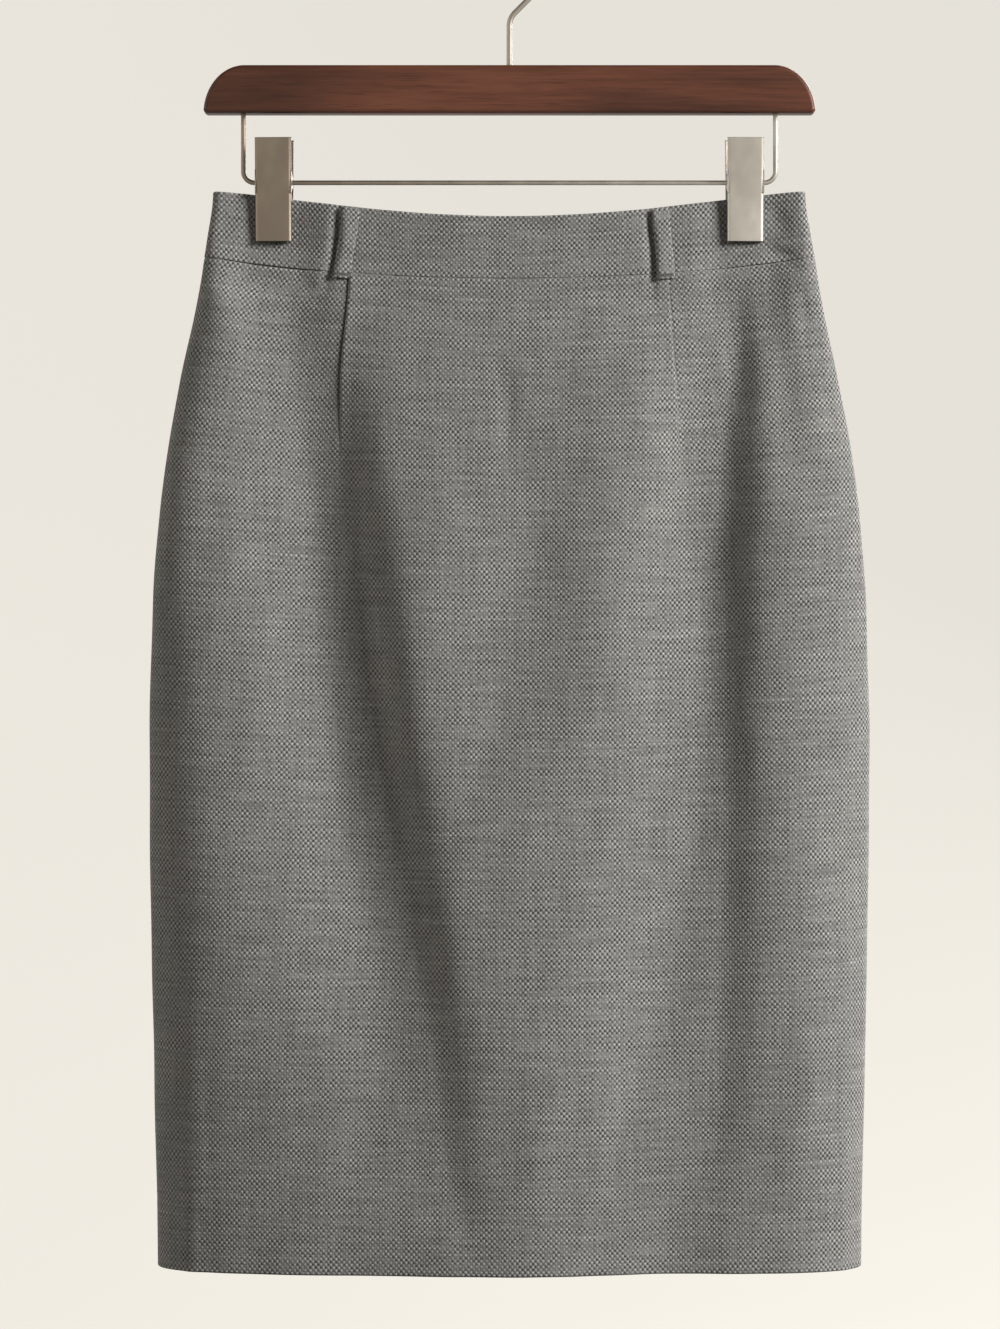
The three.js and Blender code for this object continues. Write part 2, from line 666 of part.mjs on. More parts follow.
// Zip slider: a body behind the opening and a thin neck that comes out through it.
function zipSlider() {
  const { y, z } = pullPivot;
  const back = y - PULL_OUT - BAND_BACK - GAP;
  const body = block(
    [-SLIDER.half, SLIDER.half], [back - SLIDER.thick, back], [z - SLIDER.below, z + SLIDER.above],
  );
  const neck = block([-SLIDER.neck, SLIDER.neck], [back - 1, y], [z - SLIDER.round, z + SLIDER.round]);
  const nose = rod(SLIDER.round, 2 * SLIDER.neck, "x", 0, y, z);
  const eye = rod(PULL.pin + GAP, 4 * SLIDER.neck, "x", 0, y, z, 12);
  return geometryOf(solid(body).add(solid(neck)).add(solid(nose)).subtract(solid(eye)));
}

// Teardrop pull that hangs from a pin through the slider's neck.
function zipPull() {
  const { y, z } = pullPivot;
  const top = -SLIDER.round - GAP;
  const drop = new THREE.Shape();
  drop.absarc(0, -PULL.length, PULL.round, Math.PI, 2 * Math.PI, false);
  drop.lineTo(PULL.neck, top);
  drop.lineTo(-PULL.neck, top);
  const options = { depth: PULL.thick, bevelEnabled: false, curveSegments: 6 };
  const plate = new THREE.ExtrudeGeometry(drop, options)
    .rotateX(Math.PI / 2)
    .translate(0, y + PULL.thick / 2, z);
  const inside = SLIDER.neck + GAP;
  const width = PULL.neck - inside;
  const half = PULL.thick / 2;
  const ears = [-PULL.neck, inside].flatMap((x) => [
    block([x, x + width], [y - half, y + half], [z + top - 1, z]),
    rod(PULL.ear, width, "x", x + width / 2, y, z),
  ]);
  const pin = rod(PULL.pin, 2 * inside + width, "x", 0, y, z, 12);
  return geometryOf([pin, ...ears].reduce((left, piece) => left.add(solid(piece)), solid(plate)));
}

const finish = (color, roughness, metalness = 0) =>
  new THREE.MeshStandardMaterial({ color, roughness, metalness });
const FINISHES = {
  suiting: finish(0x7d7c77, 0.9),
  wood: finish(0x5a2d1e, 0.4),
  nickel: finish(0xaaa49a, 0.38, 1),
  rubber: finish(0x6e6a64, 0.8),
  coil: finish(0x5c5b58, 0.6),
};

const garment = new THREE.Group();
const hanger = new THREE.Group();

function put(group, name, geometry, material) {
  const mesh = new THREE.Mesh(geometry, FINISHES[material]);
  mesh.name = name;
  group.add(mesh);
  return mesh;
}

put(garment, "front_panel", panel("front", FRONT_GUIDES, ["right_front", "left_front"]), "suiting");
put(garment, "back_panel_left", panel("back", LEFT_BACK_GUIDES, ["left_back"]), "suiting");
put(garment, "back_panel_right", panel("back", RIGHT_BACK_GUIDES, ["right_back"]), "suiting");
put(garment, "waistband_front", waistband("front", FRONT_GUIDES), "suiting");
put(garment, "waistband_back_left", waistband("back", LEFT_BACK_GUIDES), "suiting");
put(garment, "waistband_back_right", waistband("back", RIGHT_BACK_GUIDES), "suiting");
put(garment, "vent_underlap", ventUnderlap(), "suiting");
for (const loop of LOOPS) put(garment, loop.name, beltLoop(loop), "suiting");
put(garment, "zip_chain", zipChain(), "coil");
put(garment, "zip_slider", zipSlider(), "nickel");
put(garment, "zip_pull", zipPull(), "nickel");

put(hanger, "hanger_bar", hangerBar(), "wood");
put(hanger, "hanger_hook", hangerHook(), "nickel");
put(hanger, "clip_rod", clipRod(), "nickel");
for (const [side, x] of [["right", -CLIP_X], ["left", CLIP_X]]) {
  const clip = new THREE.Group();
  clip.position.x = x;
  const halfClip = CLIP_WIDTH / 2;
  put(clip, `clip_${side}_front_jaw`, geometryOf(jaw(halfClip)), "nickel");
  const back = put(clip, `clip_${side}_back_jaw`, geometryOf(jaw(halfClip - CLIP_SHEET - GAP)), "nickel");
  back.rotation.z = Math.PI;
  put(clip, `clip_${side}_front_pad`, pad(), "rubber");
  put(clip, `clip_${side}_back_pad`, pad(), "rubber").rotation.z = Math.PI;
  put(clip, `clip_${side}_spring`, spring(), "nickel");
  hanger.add(clip);
}

const part = new THREE.Group();
part.add(garment, hanger);

export default part;
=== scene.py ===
"""A straight pencil skirt in grey bird's-eye suiting, hung by its waistband from a wooden clip hanger.

Sizes are in millimetres in the tables and in metres in the meshes. +Z is up and the front faces -Y.
Levels are distances down the cloth from the waist edge at the side seam.
"""

from __future__ import annotations

import logging
import math
from dataclasses import dataclass, field
from enum import Enum
from typing import Any, Callable, Mapping, Sequence

import bmesh
import bpy
import numpy as np
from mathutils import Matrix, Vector

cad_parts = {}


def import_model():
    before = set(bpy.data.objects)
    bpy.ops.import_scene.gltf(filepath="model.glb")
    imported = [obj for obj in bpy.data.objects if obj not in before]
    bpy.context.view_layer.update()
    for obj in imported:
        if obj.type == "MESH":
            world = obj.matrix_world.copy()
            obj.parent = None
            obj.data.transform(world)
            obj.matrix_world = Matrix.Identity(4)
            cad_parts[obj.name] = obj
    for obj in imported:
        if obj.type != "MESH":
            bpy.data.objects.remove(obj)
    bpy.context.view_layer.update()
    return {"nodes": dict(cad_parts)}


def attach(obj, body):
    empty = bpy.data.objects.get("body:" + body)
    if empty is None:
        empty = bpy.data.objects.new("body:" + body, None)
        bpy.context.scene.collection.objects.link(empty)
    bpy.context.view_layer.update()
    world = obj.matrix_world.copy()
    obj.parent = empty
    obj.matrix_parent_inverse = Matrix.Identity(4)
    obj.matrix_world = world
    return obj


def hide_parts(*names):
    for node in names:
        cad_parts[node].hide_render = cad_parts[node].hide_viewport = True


LOG = logging.getLogger("skirt")
MM = 0.001
GARMENT = "skirt_and_hanger"
PULL = "zip_pull"

# Sizes that several parts share, in millimetres

SKIRT_LENGTH = 625.0
BAND_HEIGHT = 38.0
HEM_TURN = 40.0
CLIP_X = 137.0
GAP = 0.3
EDGE = 0.7

# Edges that turn more than these stay crisp, or are rounded, in degrees

CRISP_ANGLE = 40.0
BEVEL_ANGLE = 35.0

# How far each clip has swung round on the rod, in degrees

SWING = 2.5

Color = tuple[float, float, float]
Solid = tuple[np.ndarray, Sequence[Sequence[int]]]


class Face(Enum):
    """The two faces of the skirt."""

    FRONT = -1
    BACK = 1


class Slot(Enum):
    """The material slots of the record."""

    SUITING = "suiting"
    WOOD = "wood"
    NICKEL = "nickel"
    PAD = "pad"
    COIL = "zip_coil"


# Node trees


class Nodes:
    """A tree of nodes, of a material or of geometry."""

    tree: bpy.types.NodeTree

    def node(
        self, kind: str, settings: Mapping[str, Any] | None = None, inputs: Mapping[Any, Any] | None = None
    ) -> bpy.types.Node:
        """Adds a node, with its settings first and then the values or links of its sockets.

        Args:
            kind: The node's type.
            settings: Its properties.
            inputs: Signals, sockets or values by input name or number.

        Returns:
            The node.
        """
        node = self.tree.nodes.new(kind)
        for name, value in (settings or {}).items():
            setattr(node, name, value)
        for name, value in (inputs or {}).items():
            self.feed(node.inputs[name], value)
        return node

    def feed(self, target: bpy.types.NodeSocket, value: Any) -> None:
        """Links a signal or socket to an input, or sets its value.

        Args:
            target: The input.
            value: A signal, a socket or a plain value.
        """
        source = value.socket if isinstance(value, Signal) else value
        if isinstance(source, bpy.types.NodeSocket):
            self.tree.links.new(source, target)
        else:
            target.default_value = source


# Shader graphs


class Signal:
    """One output of a shader graph that takes part in arithmetic."""

    def __init__(self, graph: Graph, socket: bpy.types.NodeSocket) -> None:
        """Keeps the graph and the socket.

        Args:
            graph: The graph that new nodes are added to.
            socket: The output that this signal reads.
        """
        self.graph = graph
        self.socket = socket

    def math(self, operation: str, *others: Signal | float) -> Signal:
        """Adds a Math node.

        Args:
            operation: The node's operation.
            others: Its other operands.

        Returns:
            The result.
        """
        operands = dict(enumerate([self, *others]))
        node = self.graph.node("ShaderNodeMath", {"operation": operation}, operands)
        return Signal(self.graph, node.outputs[0])

    def __add__(self, other: Signal | float) -> Signal:
        """Adds a signal or number."""
        return self.math("ADD", other)

    __radd__ = __add__

    def __sub__(self, other: Signal | float) -> Signal:
        """Subtracts a signal or number."""
        return self.math("SUBTRACT", other)

    def __mul__(self, other: Signal | float) -> Signal:
        """Multiplies by a signal or number."""
        return self.math("MULTIPLY", other)

    def cos(self) -> Signal:
        """Gives the cosine."""
        return self.math("COSINE")

    def smooth(self, low: float, high: float) -> Signal:
        """Rises smoothly from 0 at low to 1 at high."""
        inputs = {"Value": self, "From Min": low, "From Max": high}
        node = self.graph.node("ShaderNodeMapRange", {"interpolation_type": "SMOOTHSTEP"}, inputs)
        return Signal(self.graph, node.outputs["Result"])


class Graph(Nodes):
    """The node graph of one material."""

    def __init__(self, name: str) -> None:
        """Makes the material with a Principled shader.

        Args:
            name: The material's name.
        """
        self.material = bpy.data.materials.new(name)
        self.material.use_nodes = True
        self.tree = self.material.node_tree
        self.tree.nodes.clear()
        output = self.tree.nodes.new("ShaderNodeOutputMaterial")
        self.shader = self.tree.nodes.new("ShaderNodeBsdfPrincipled")
        self.tree.links.new(self.shader.outputs["BSDF"], output.inputs["Surface"])

    def noise(
        self, vector: Any, scale: Sequence[float], detail: float = 2.0, roughness: float = 0.5
    ) -> Signal:
        """Adds a noise pattern, stretched along the axes.

        Args:
            vector: The coordinates.
            scale: Cycles a metre along each axis, where two axes give a flat pattern.
            detail: Octaves.
            roughness: Share of the finer octaves.

        Returns:
            The noise, mostly from 0.3 to 0.7.
        """
        factors = (*scale, 1.0)[:3]
        stretched = self.node("ShaderNodeVectorMath", {"operation": "MULTIPLY"}, {0: vector, 1: factors})
        inputs = {"Vector": stretched.outputs[0], "Scale": 1.0, "Detail": detail, "Roughness": roughness}
        settings = {"noise_dimensions": "3D" if len(scale) == 3 else "2D"}
        return Signal(self, self.node("ShaderNodeTexNoise", settings, inputs).outputs["Fac"])

    def mix(self, factor: Any, low: Any, high: Any, blend: str = "MIX") -> bpy.types.NodeSocket:
        """Mixes two colours.

        Args:
            factor: Share of the second.
            low: The first colour.
            high: The second colour.
            blend: The blend type.

        Returns:
            The mixed colour.
        """
        settings = {"data_type": "RGBA", "blend_type": blend}
        node = self.node("ShaderNodeMix", settings)
        self.feed(node.inputs[0], factor)
        for index, color in ((6, low), (7, high)):
            self.feed(node.inputs[index], (*color, 1.0) if isinstance(color, tuple) else color)
        return node.outputs[2]

    def ramp(self, factor: Signal, stops: Sequence[tuple[float, Color]]) -> bpy.types.NodeSocket:
        """Turns a number into a colour.

        Args:
            factor: The number.
            stops: Positions and their colours.

        Returns:
            The colour.
        """
        node = self.node("ShaderNodeValToRGB", None, {0: factor})
        elements = node.color_ramp.elements
        for _ in range(len(stops) - len(elements)):
            elements.new(0.5)
        for element, (position, color) in zip(elements, stops):
            element.position = position
            element.color = (*color, 1.0)
        return node.outputs[0]

    def place(self) -> bpy.types.NodeSocket:
        """Gives the Object coordinates."""
        return self.node("ShaderNodeTexCoord").outputs["Object"]

    def split(self, vector: Any) -> list[Signal]:
        """Gives the three parts of a vector."""
        return [Signal(self, part) for part in self.node("ShaderNodeSeparateXYZ", None, {0: vector}).outputs]

    def bump(self, strength: float, distance: float, height: Signal) -> bpy.types.NodeSocket:
        """Turns a height into a normal, with the distance in millimetres."""
        inputs = {"Strength": strength, "Distance": distance * MM, "Height": height}
        return self.node("ShaderNodeBump", None, inputs).outputs[0]

    def grey(self, signal: Signal) -> bpy.types.NodeSocket:
        """Turns a number into a grey colour for mixing."""
        return self.node("ShaderNodeCombineColor", None, {0: signal, 1: signal, 2: signal}).outputs[0]

    def dress(self, **values: Any) -> bpy.types.Material:
        """Feeds the Principled shader's sockets.

        Args:
            values: Values or links by socket name, with _ for a space.

        Returns:
            The finished material.
        """
        for name, value in values.items():
            self.feed(self.shader.inputs[name.replace("_", " ")], value)
        return self.material


@dataclass(frozen=True)
class Suiting:
    """Bird's-eye wool: light dots on a dark ground, in rows that are offset by half a repeat."""

    light: Color = (0.479, 0.48, 0.468)
    dark: Color = (0.036, 0.0355, 0.033)
    across: float = 2.97
    down: float = 3.3
    drift: float = 0.85

    def material(self) -> bpy.types.Material:
        """Builds the cloth's material on the cloth attribute, which runs in metres along the weave."""
        g = Graph("suiting")
        cloth = g.node("ShaderNodeAttribute", {"attribute_name": "cloth"}).outputs["Vector"]
        u, v, _ = g.split(cloth)
        wander_u = (g.noise(cloth, (70, 45), 1.0) - 0.5) * (self.drift * MM)
        wander_v = (g.noise(cloth, (40, 95), 1.0) - 0.5) * (self.drift * MM)
        phase_u = (u + wander_u) * (2 * math.pi / (self.across * MM))
        phase_v = (v + wander_v) * (2 * math.pi / (self.down * MM))
        dots = phase_u.cos() * phase_v.cos()
        yarns = (phase_u * 2.0).cos() + (phase_v * 2.0).cos()
        single = g.noise(cloth, (250, 225), 1.0).smooth(0.34, 0.66)
        patch = g.noise(cloth, (45, 90), 1.0).smooth(0.35, 0.65)
        share = dots * (single * 0.58 + patch * 0.27 + 0.1) + yarns * 0.035 + 0.485
        slub = g.noise(cloth, (30, 560), 2.0, 0.6)
        rib = g.noise(cloth, (420, 26), 1.0)
        cloud = g.noise(cloth, (17, 12), 2.0)
        streak = g.noise(cloth, (14, 430), 1.0).smooth(0.6, 0.74)
        tone = slub * 0.85 + rib * 0.35 + cloud * 0.18 + streak * 0.15 + 0.3
        tint = g.mix(cloud.smooth(0.35, 0.65), (0.992, 1.0, 1.004), (1.006, 1.0, 0.991))
        base = g.mix(1.0, g.mix(share, self.dark, self.light), tint, "MULTIPLY")
        color = g.mix(1.0, base, g.grey(tone), "MULTIPLY")
        height = dots + yarns * 0.25
        bump = g.bump(0.6, 0.16, height)
        return g.dress(Base_Color=color, Roughness=0.9, Normal=bump, Sheen_Weight=0.08, Sheen_Roughness=0.5)


@dataclass(frozen=True)
class VarnishedWood:
    """Dark mahogany-stained wood with fine grain along X, under satin varnish. Its colour has painted shade,
    darker towards -X.
    """

    dark: Color = (0.04, 0.0125, 0.0075)
    brown: Color = (0.128, 0.044, 0.024)
    red: Color = (0.225, 0.078, 0.043)

    def material(self) -> bpy.types.Material:
        """Builds the wood's material on Object coordinates."""
        g = Graph("varnished_wood")
        place = g.place()
        figure = g.noise(place, (7, 60, 75), 3.0, 0.55)
        grain = g.noise(place, (16, 420, 520), 3.0, 0.6)
        pores = g.noise(place, (60, 1500, 1900), 1.0).smooth(0.56, 0.72)
        cloud = g.noise(place, (9, 12, 16), 1.0)
        share = figure * 0.75 + grain * 0.35 + cloud * 0.35 - 0.2
        wood = g.ramp(share, [(0.28, self.dark), (0.52, self.brown), (0.78, self.red)])
        stained = g.mix(pores * 0.45, wood, self.dark)
        along = g.split(place)[0]
        # Painted shade: the wood darkens towards -X, with random cloud tone on top.
        painted_shade_and_cloud = g.grey(along.smooth(-0.19, 0.02) * 0.45 + (cloud * 0.2 + 0.5))
        color = g.mix(1.0, stained, painted_shade_and_cloud, "MULTIPLY")
        height = grain * 0.4 - pores * 0.5
        return g.dress(
            Base_Color=color, Roughness=0.42 + grain * 0.16, Normal=g.bump(0.25, 0.1, height),
            Specular_IOR_Level=0.22, Coat_Weight=0.12, Coat_Roughness=0.28,
        )


@dataclass(frozen=True)
class SatinNickel:
    """Satin nickel plate with a faint brushed grain down the metal. Its colour has painted shade, darker
    towards -X, away from the key light.
    """

    shaded_tone: Color = (0.235, 0.197, 0.158)
    lit_tone: Color = (0.45, 0.422, 0.382)
    reach: float = 0.13
    roughness: float = 0.53

    def material(self) -> bpy.types.Material:
        """Builds the metal's material on Object coordinates."""
        g = Graph("satin_nickel")
        place = g.place()
        brushed = g.noise(place, (2600, 2600, 90), 2.0)
        cloud = g.noise(place, (70, 70, 45), 2.0)
        along = g.split(place)[0]
        # Painted shade: the plate's colour darkens from the lit tone to the shaded tone towards -X.
        plate = g.mix(along.smooth(-self.reach, self.reach), self.shaded_tone, self.lit_tone)
        color = g.mix(1.0, plate, g.grey(cloud.smooth(0.35, 0.7) * 0.16 + 0.84), "MULTIPLY")
        rough = brushed * 0.1 + cloud * 0.12 + (self.roughness - 0.1)
        return g.dress(Base_Color=color, Roughness=rough, Metallic=1.0, Normal=g.bump(0.12, 0.05, brushed))


@dataclass(frozen=True)
class Plain:
    """Moulded or spun trim: rubber pads, nylon coils and sewing thread."""

    color: Color
    roughness: float
    speckle: float

    def material(self, name: str) -> bpy.types.Material:
        """Builds the material on Object coordinates.

        Args:
            name: The material's name.

        Returns:
            The material.
        """
        g = Graph(name)
        place = g.place()
        speckle = g.noise(place, (self.speckle,) * 3, 2.0)
        shade = tuple(value * 0.75 for value in self.color)
        color = g.mix(speckle.smooth(0.3, 0.7), shade, self.color)
        rough = speckle * 0.12 + self.roughness
        return g.dress(Base_Color=color, Roughness=rough, Normal=g.bump(0.3, 0.08, speckle))


@dataclass(frozen=True)
class Backdrop:
    """Matt pale paper for the floor and what curves up behind it."""

    color: Color = (0.8, 0.77, 0.705)
    glow: float = 0.9
    matt: float = 0.22

    def material(self) -> bpy.types.Material:
        """Builds the material. Its glow evens out the light on it."""
        g = Graph("backdrop")
        place = g.place()
        tooth = g.noise(place, (3, 3, 3), 2.0)
        pale, paler = (tuple(value * self.matt * tone for value in self.color) for tone in (0.97, 1.0))
        return g.dress(
            Base_Color=g.mix(tooth, pale, paler), Roughness=0.95, Specular_IOR_Level=0.1,
            Emission_Color=(*self.color, 1.0), Emission_Strength=self.glow,
        )


class Finishes:
    """Every material of the object, made once."""

    def __init__(self) -> None:
        """Builds the materials."""
        self.suiting = Suiting().material()
        self.wood = VarnishedWood().material()
        self.nickel = SatinNickel().material()
        self.rubber = Plain((0.12, 0.11, 0.1), 0.7, 900).material("rubber")
        self.coil = Plain((0.12, 0.118, 0.11), 0.5, 2500).material("nylon_coil")
        self.tape = Plain((0.13, 0.127, 0.12), 0.85, 3500).material("zip_tape")
        self.thread = Plain((0.2, 0.198, 0.185), 0.8, 4000).material("thread")


# Meshes


def ease(t: np.ndarray | float) -> np.ndarray:
    """Gives a smooth step from 0 to 1 as t does the same."""
    t = np.clip(t, 0, 1)
    return t * t * (3 - 2 * t)


def bell(away: np.ndarray, width: float) -> np.ndarray:
    """Gives a bell curve, 1 in its middle and about a third at its width."""
    return np.exp(-((away / width) ** 2))


def add_object(name: str, data: bpy.types.ID) -> bpy.types.Object:
    """Puts a mesh, light or camera into the scene.

    Args:
        name: The object's name.
        data: What it shows.

    Returns:
        The object.
    """
    item = bpy.data.objects.new(name, data)
    bpy.context.scene.collection.objects.link(item)
    return item


def shade_smooth(mesh: bpy.types.Mesh) -> None:
    """Shades every face smooth."""
    mesh.polygons.foreach_set("use_smooth", [True] * len(mesh.polygons))


def baked(item: bpy.types.Object) -> bpy.types.Mesh:
    """Gives the mesh that an object's modifiers make."""
    return bpy.data.meshes.new_from_object(item.evaluated_get(bpy.context.evaluated_depsgraph_get()))


def build_mesh(
    name: str,
    points: np.ndarray,
    faces: Sequence[Sequence[int]] | np.ndarray,
    material: bpy.types.Material,
    weave: np.ndarray | None = None,
    sharp_degrees: float = CRISP_ANGLE,
) -> bpy.types.Object:
    """Makes an object at the origin from points in millimetres, with its faces pointing outwards.

    Args:
        name: The object's name.
        points: The points, one row each.
        faces: The faces, as point numbers.
        material: The material of all faces.
        weave: Millimetres along and down the cloth for each point, where it is cloth.
        sharp_degrees: Edges that turn more than this stay crisp.

    Returns:
        The object.
    """
    faces = [list(map(int, face)) for face in faces]
    if signed_volume(points, faces) < 0:
        faces = [face[::-1] for face in faces]
    mesh = bpy.data.meshes.new(name)
    mesh.from_pydata((points * MM).tolist(), [], faces)
    mesh.materials.append(material)
    shade_smooth(mesh)
    mesh.set_sharp_from_angle(angle=math.radians(sharp_degrees))
    if weave is not None:
        attribute = mesh.attributes.new("cloth", "FLOAT_VECTOR", "POINT")
        values = np.zeros((len(points), 3), np.float32)
        values[:, :2] = weave * MM
        attribute.data.foreach_set("vector", values.ravel())
    mesh.validate()
    return add_object(name, mesh)


def signed_volume(points: np.ndarray, faces: Sequence[Sequence[int]]) -> float:
    """Gives the volume inside a closed mesh, below 0 where its faces point inwards.

    Args:
        points: The points.
        faces: The faces, as point numbers.

    Returns:
        The signed volume.
    """
    corners = [(f[0], f[i], f[i + 1]) for f in faces for i in range(1, len(f) - 1)]
    a, b, c = (points[np.array(corners)[:, i]] for i in range(3))
    return float(np.einsum("ij,ij->i", a, np.cross(b, c)).sum() / 6)


def band_faces(rows: int, columns: int, closed: bool = False) -> list[tuple[int, ...]]:
    """Gives the quads between neighbouring rows of points.

    Args:
        rows: Number of rows.
        columns: Points in each row.
        closed: Whether each row closes on itself.

    Returns:
        The quads.
    """
    last = columns if closed else columns - 1
    quads = []
    for i in range(rows - 1):
        for j in range(last):
            k = (j + 1) % columns
            a, b = i * columns + j, i * columns + k
            quads.append((a, b, b + columns, a + columns))
    return quads


def tube(rings: np.ndarray) -> Solid:
    """Joins closed rings of points into a tube with closed ends.

    Args:
        rings: The rings, as rings by points by 3.

    Returns:
        The points and the faces.
    """
    count, sides, _ = rings.shape
    faces = band_faces(count, sides, closed=True)
    faces.append(tuple(range(sides)))
    faces.append(tuple(range((count - 1) * sides, count * sides))[::-1])
    return rings.reshape(-1, 3), faces


def arc(centre: Sequence[float], radii: Sequence[float], start: float, end: float, steps: int) -> np.ndarray:
    """Gives points on an arc of an ellipse.

    Args:
        centre: Its centre.
        radii: Its two radii.
        start: First angle in degrees.
        end: Last angle in degrees.
        steps: Steps between them.

    Returns:
        The points, one row each.
    """
    angles = np.radians(np.linspace(start, end, steps + 1))
    return np.array(centre) + np.stack([np.cos(angles), np.sin(angles)], 1) * np.array(radii)


def inset(outline: np.ndarray, distance: float) -> np.ndarray:
    """Moves a closed convex outline in by a distance.

    Args:
        outline: Its points, anticlockwise.
        distance: How far in.

    Returns:
        The moved points.
    """
    ahead = np.roll(outline, -1, 0) - outline
    ahead /= np.linalg.norm(ahead, axis=1)[:, None]
    mean = ahead + np.roll(ahead, 1, 0)
    mean /= np.linalg.norm(mean, axis=1)[:, None]
    stretch = np.einsum("ij,ij->i", mean, ahead)
    inward = np.stack([-mean[:, 1], mean[:, 0]], 1)
    return outline + inward * (distance / stretch)[:, None]


def slab(outline: np.ndarray, thick: float, edge: float, steps: int) -> Solid:
    """Makes a plate from an outline in X and Z, with rounded edges, centred on Y 0.

    Args:
        outline: Points anticlockwise, as X and Z.
        thick: Thickness along Y.
        edge: Radius of its edges.
        steps: Steps of each edge.

    Returns:
        The points and the faces.
    """
    quarter = np.radians(np.linspace(0, 90, steps + 1))
    half = [(edge * (1 - math.sin(a)), thick / 2 - edge * (1 - math.cos(a))) for a in quarter]
    rings = []
    for depth, y in half + [(d, -y) for d, y in half[::-1]]:
        flat = inset(outline, depth)
        rings.append(np.stack([flat[:, 0], np.full(len(flat), y), flat[:, 1]], 1))
    return tube(np.array(rings))


def join(parts: Sequence[Solid]) -> Solid:
    """Puts several closed meshes into one, each with its faces outwards.

    Args:
        parts: Points and faces of each.

    Returns:
        The points and the faces.
    """
    points, faces, start = [], [], 0
    for own, own_faces in parts:
        turned = signed_volume(own, own_faces) < 0
        for face in own_faces:
            moved = [start + int(index) for index in face]
            faces.append(moved[::-1] if turned else moved)
        points.append(own)
        start += len(own)
    return np.concatenate(points), faces


# The form of the hanging cloth


@dataclass(frozen=True)
class Track:
    """A smooth value down the skirt, with no overshoot between its rows."""

    levels: tuple[float, ...]
    values: tuple[float, ...]

    def at(self, level: np.ndarray | float) -> np.ndarray:
        """Gives the value at some levels.

        Args:
            level: The levels.

        Returns:
            The values.
        """
        x, y = np.array(self.levels, float), np.array(self.values, float)
        slope = np.diff(y) / np.diff(x)
        before, after = np.append(0.0, slope), np.append(slope, 0.0)
        total = np.where(before + after == 0, 1.0, before + after)
        tangent = np.where(before * after <= 0, 0.0, 2 * before * after / total)
        place = np.clip(level, x[0], x[-1])
        k = np.clip(np.searchsorted(x, place, side="right") - 1, 0, len(x) - 2)
        width = x[k + 1] - x[k]
        t = (place - x[k]) / width
        bend = t * t * (3 - 2 * t)
        lean = tangent[k] * t * (1 - t) ** 2 - tangent[k + 1] * t * t * (1 - t)
        return y[k] * (1 - bend) + y[k + 1] * bend + width * lean


@dataclass(frozen=True)
class Section:
    """One section of the skirt. The fields mean what the driving table of the solids says."""

    level: float
    half: float
    round: float
    front: float
    back: float
    sides: float
    pinch: float
    dip: float
    arch: float


@dataclass(frozen=True)
class Fold:
    """A trough down one face: its slow side is towards -X, and its path has rows of level, x, depth."""

    face: Face
    slow: float
    steep: float
    path: tuple[tuple[float, float, float], ...]

    def depth(self, x: np.ndarray, level: np.ndarray) -> np.ndarray:
        """Gives how far the trough draws the face in.

        Args:
            x: Places across.
            level: Places down.

        Returns:
            The depths.
        """
        levels, middles, depths = zip(*self.path)
        away = x - Track(levels, middles).at(level)
        reach = np.where(away < 0, self.slow, self.steep)
        return Track(levels, depths).at(level) * bell(away, reach)


@dataclass(frozen=True)
class Dart:
    """A dart: its end, where its seam lies by level, how far its inner side is raised, what it takes up."""

    face: Face
    end: float
    path: tuple[tuple[float, float], ...]
    step: float = 0.8
    take_up: float = 20.0

    def x(self, level: np.ndarray) -> np.ndarray:
        """Gives where the seam lies at some levels."""
        levels, places = zip(*self.path)
        return Track(levels, places).at(level)


@dataclass(frozen=True)
class Crease:
    """A soft trough or ridge of the cloth between two places, a little bowed. A ridge has a depth below 0."""

    face: Face
    start: tuple[float, float]
    end: tuple[float, float]
    width: float
    depth: float
    bow: float = 0.06

    def height(self, x: np.ndarray, level: np.ndarray) -> np.ndarray:
        """Gives how far the crease moves the cloth out.

        Args:
            x: Places across.
            level: Places down.

        Returns:
            The heights.
        """
        begin, finish = np.array(self.start), np.array(self.end)
        run = finish - begin
        length = float(np.linalg.norm(run))
        ahead = run / length
        dx, dy = x - begin[0], level - begin[1]
        t = (dx * ahead[0] + dy * ahead[1]) / length
        off = dx * ahead[1] - dy * ahead[0]
        arch = np.sin(math.pi * np.clip(t, 0, 1))
        bow = self.bow * length * arch
        return -self.depth * arch**1.3 * bell(off - bow, self.width)


SECTIONS = (
    Section(0, 172.5, 4, 10, 7, 0.42, 1, 15, 1.55),
    Section(28, 176, 5, 10.5, 7.5, 0.46, 1, 13.6, 1.1),
    Section(38, 177.6, 8, 11, 8, 0.55, 0.75, 13.2, 1),
    Section(75, 184.6, 30, 15, 12, 0.7, 0.2, 12.3, 1),
    Section(110, 192.2, 60, 19.5, 16, 0.85, 0, 11.5, 1),
    Section(150, 199.4, 100, 25, 21, 0.95, 0, 10.6, 1),
    Section(190, 204.6, 135, 30, 25, 1, 0, 9.7, 1),
    Section(240, 208.2, 165, 35, 29, 1, 0, 8.6, 1),
    Section(320, 210, 190, 40, 33, 1, 0, 6.8, 1),
    Section(400, 209.4, 206, 44, 36, 1, 0, 5, 1),
    Section(480, 208, 208, 47, 38, 1, 0, 3.2, 1),
    Section(560, 206.3, 206.3, 49, 40, 1, 0, 1.5, 1),
    Section(625, 205.2, 205.2, 50, 41, 1, 0, 0, 1),
)

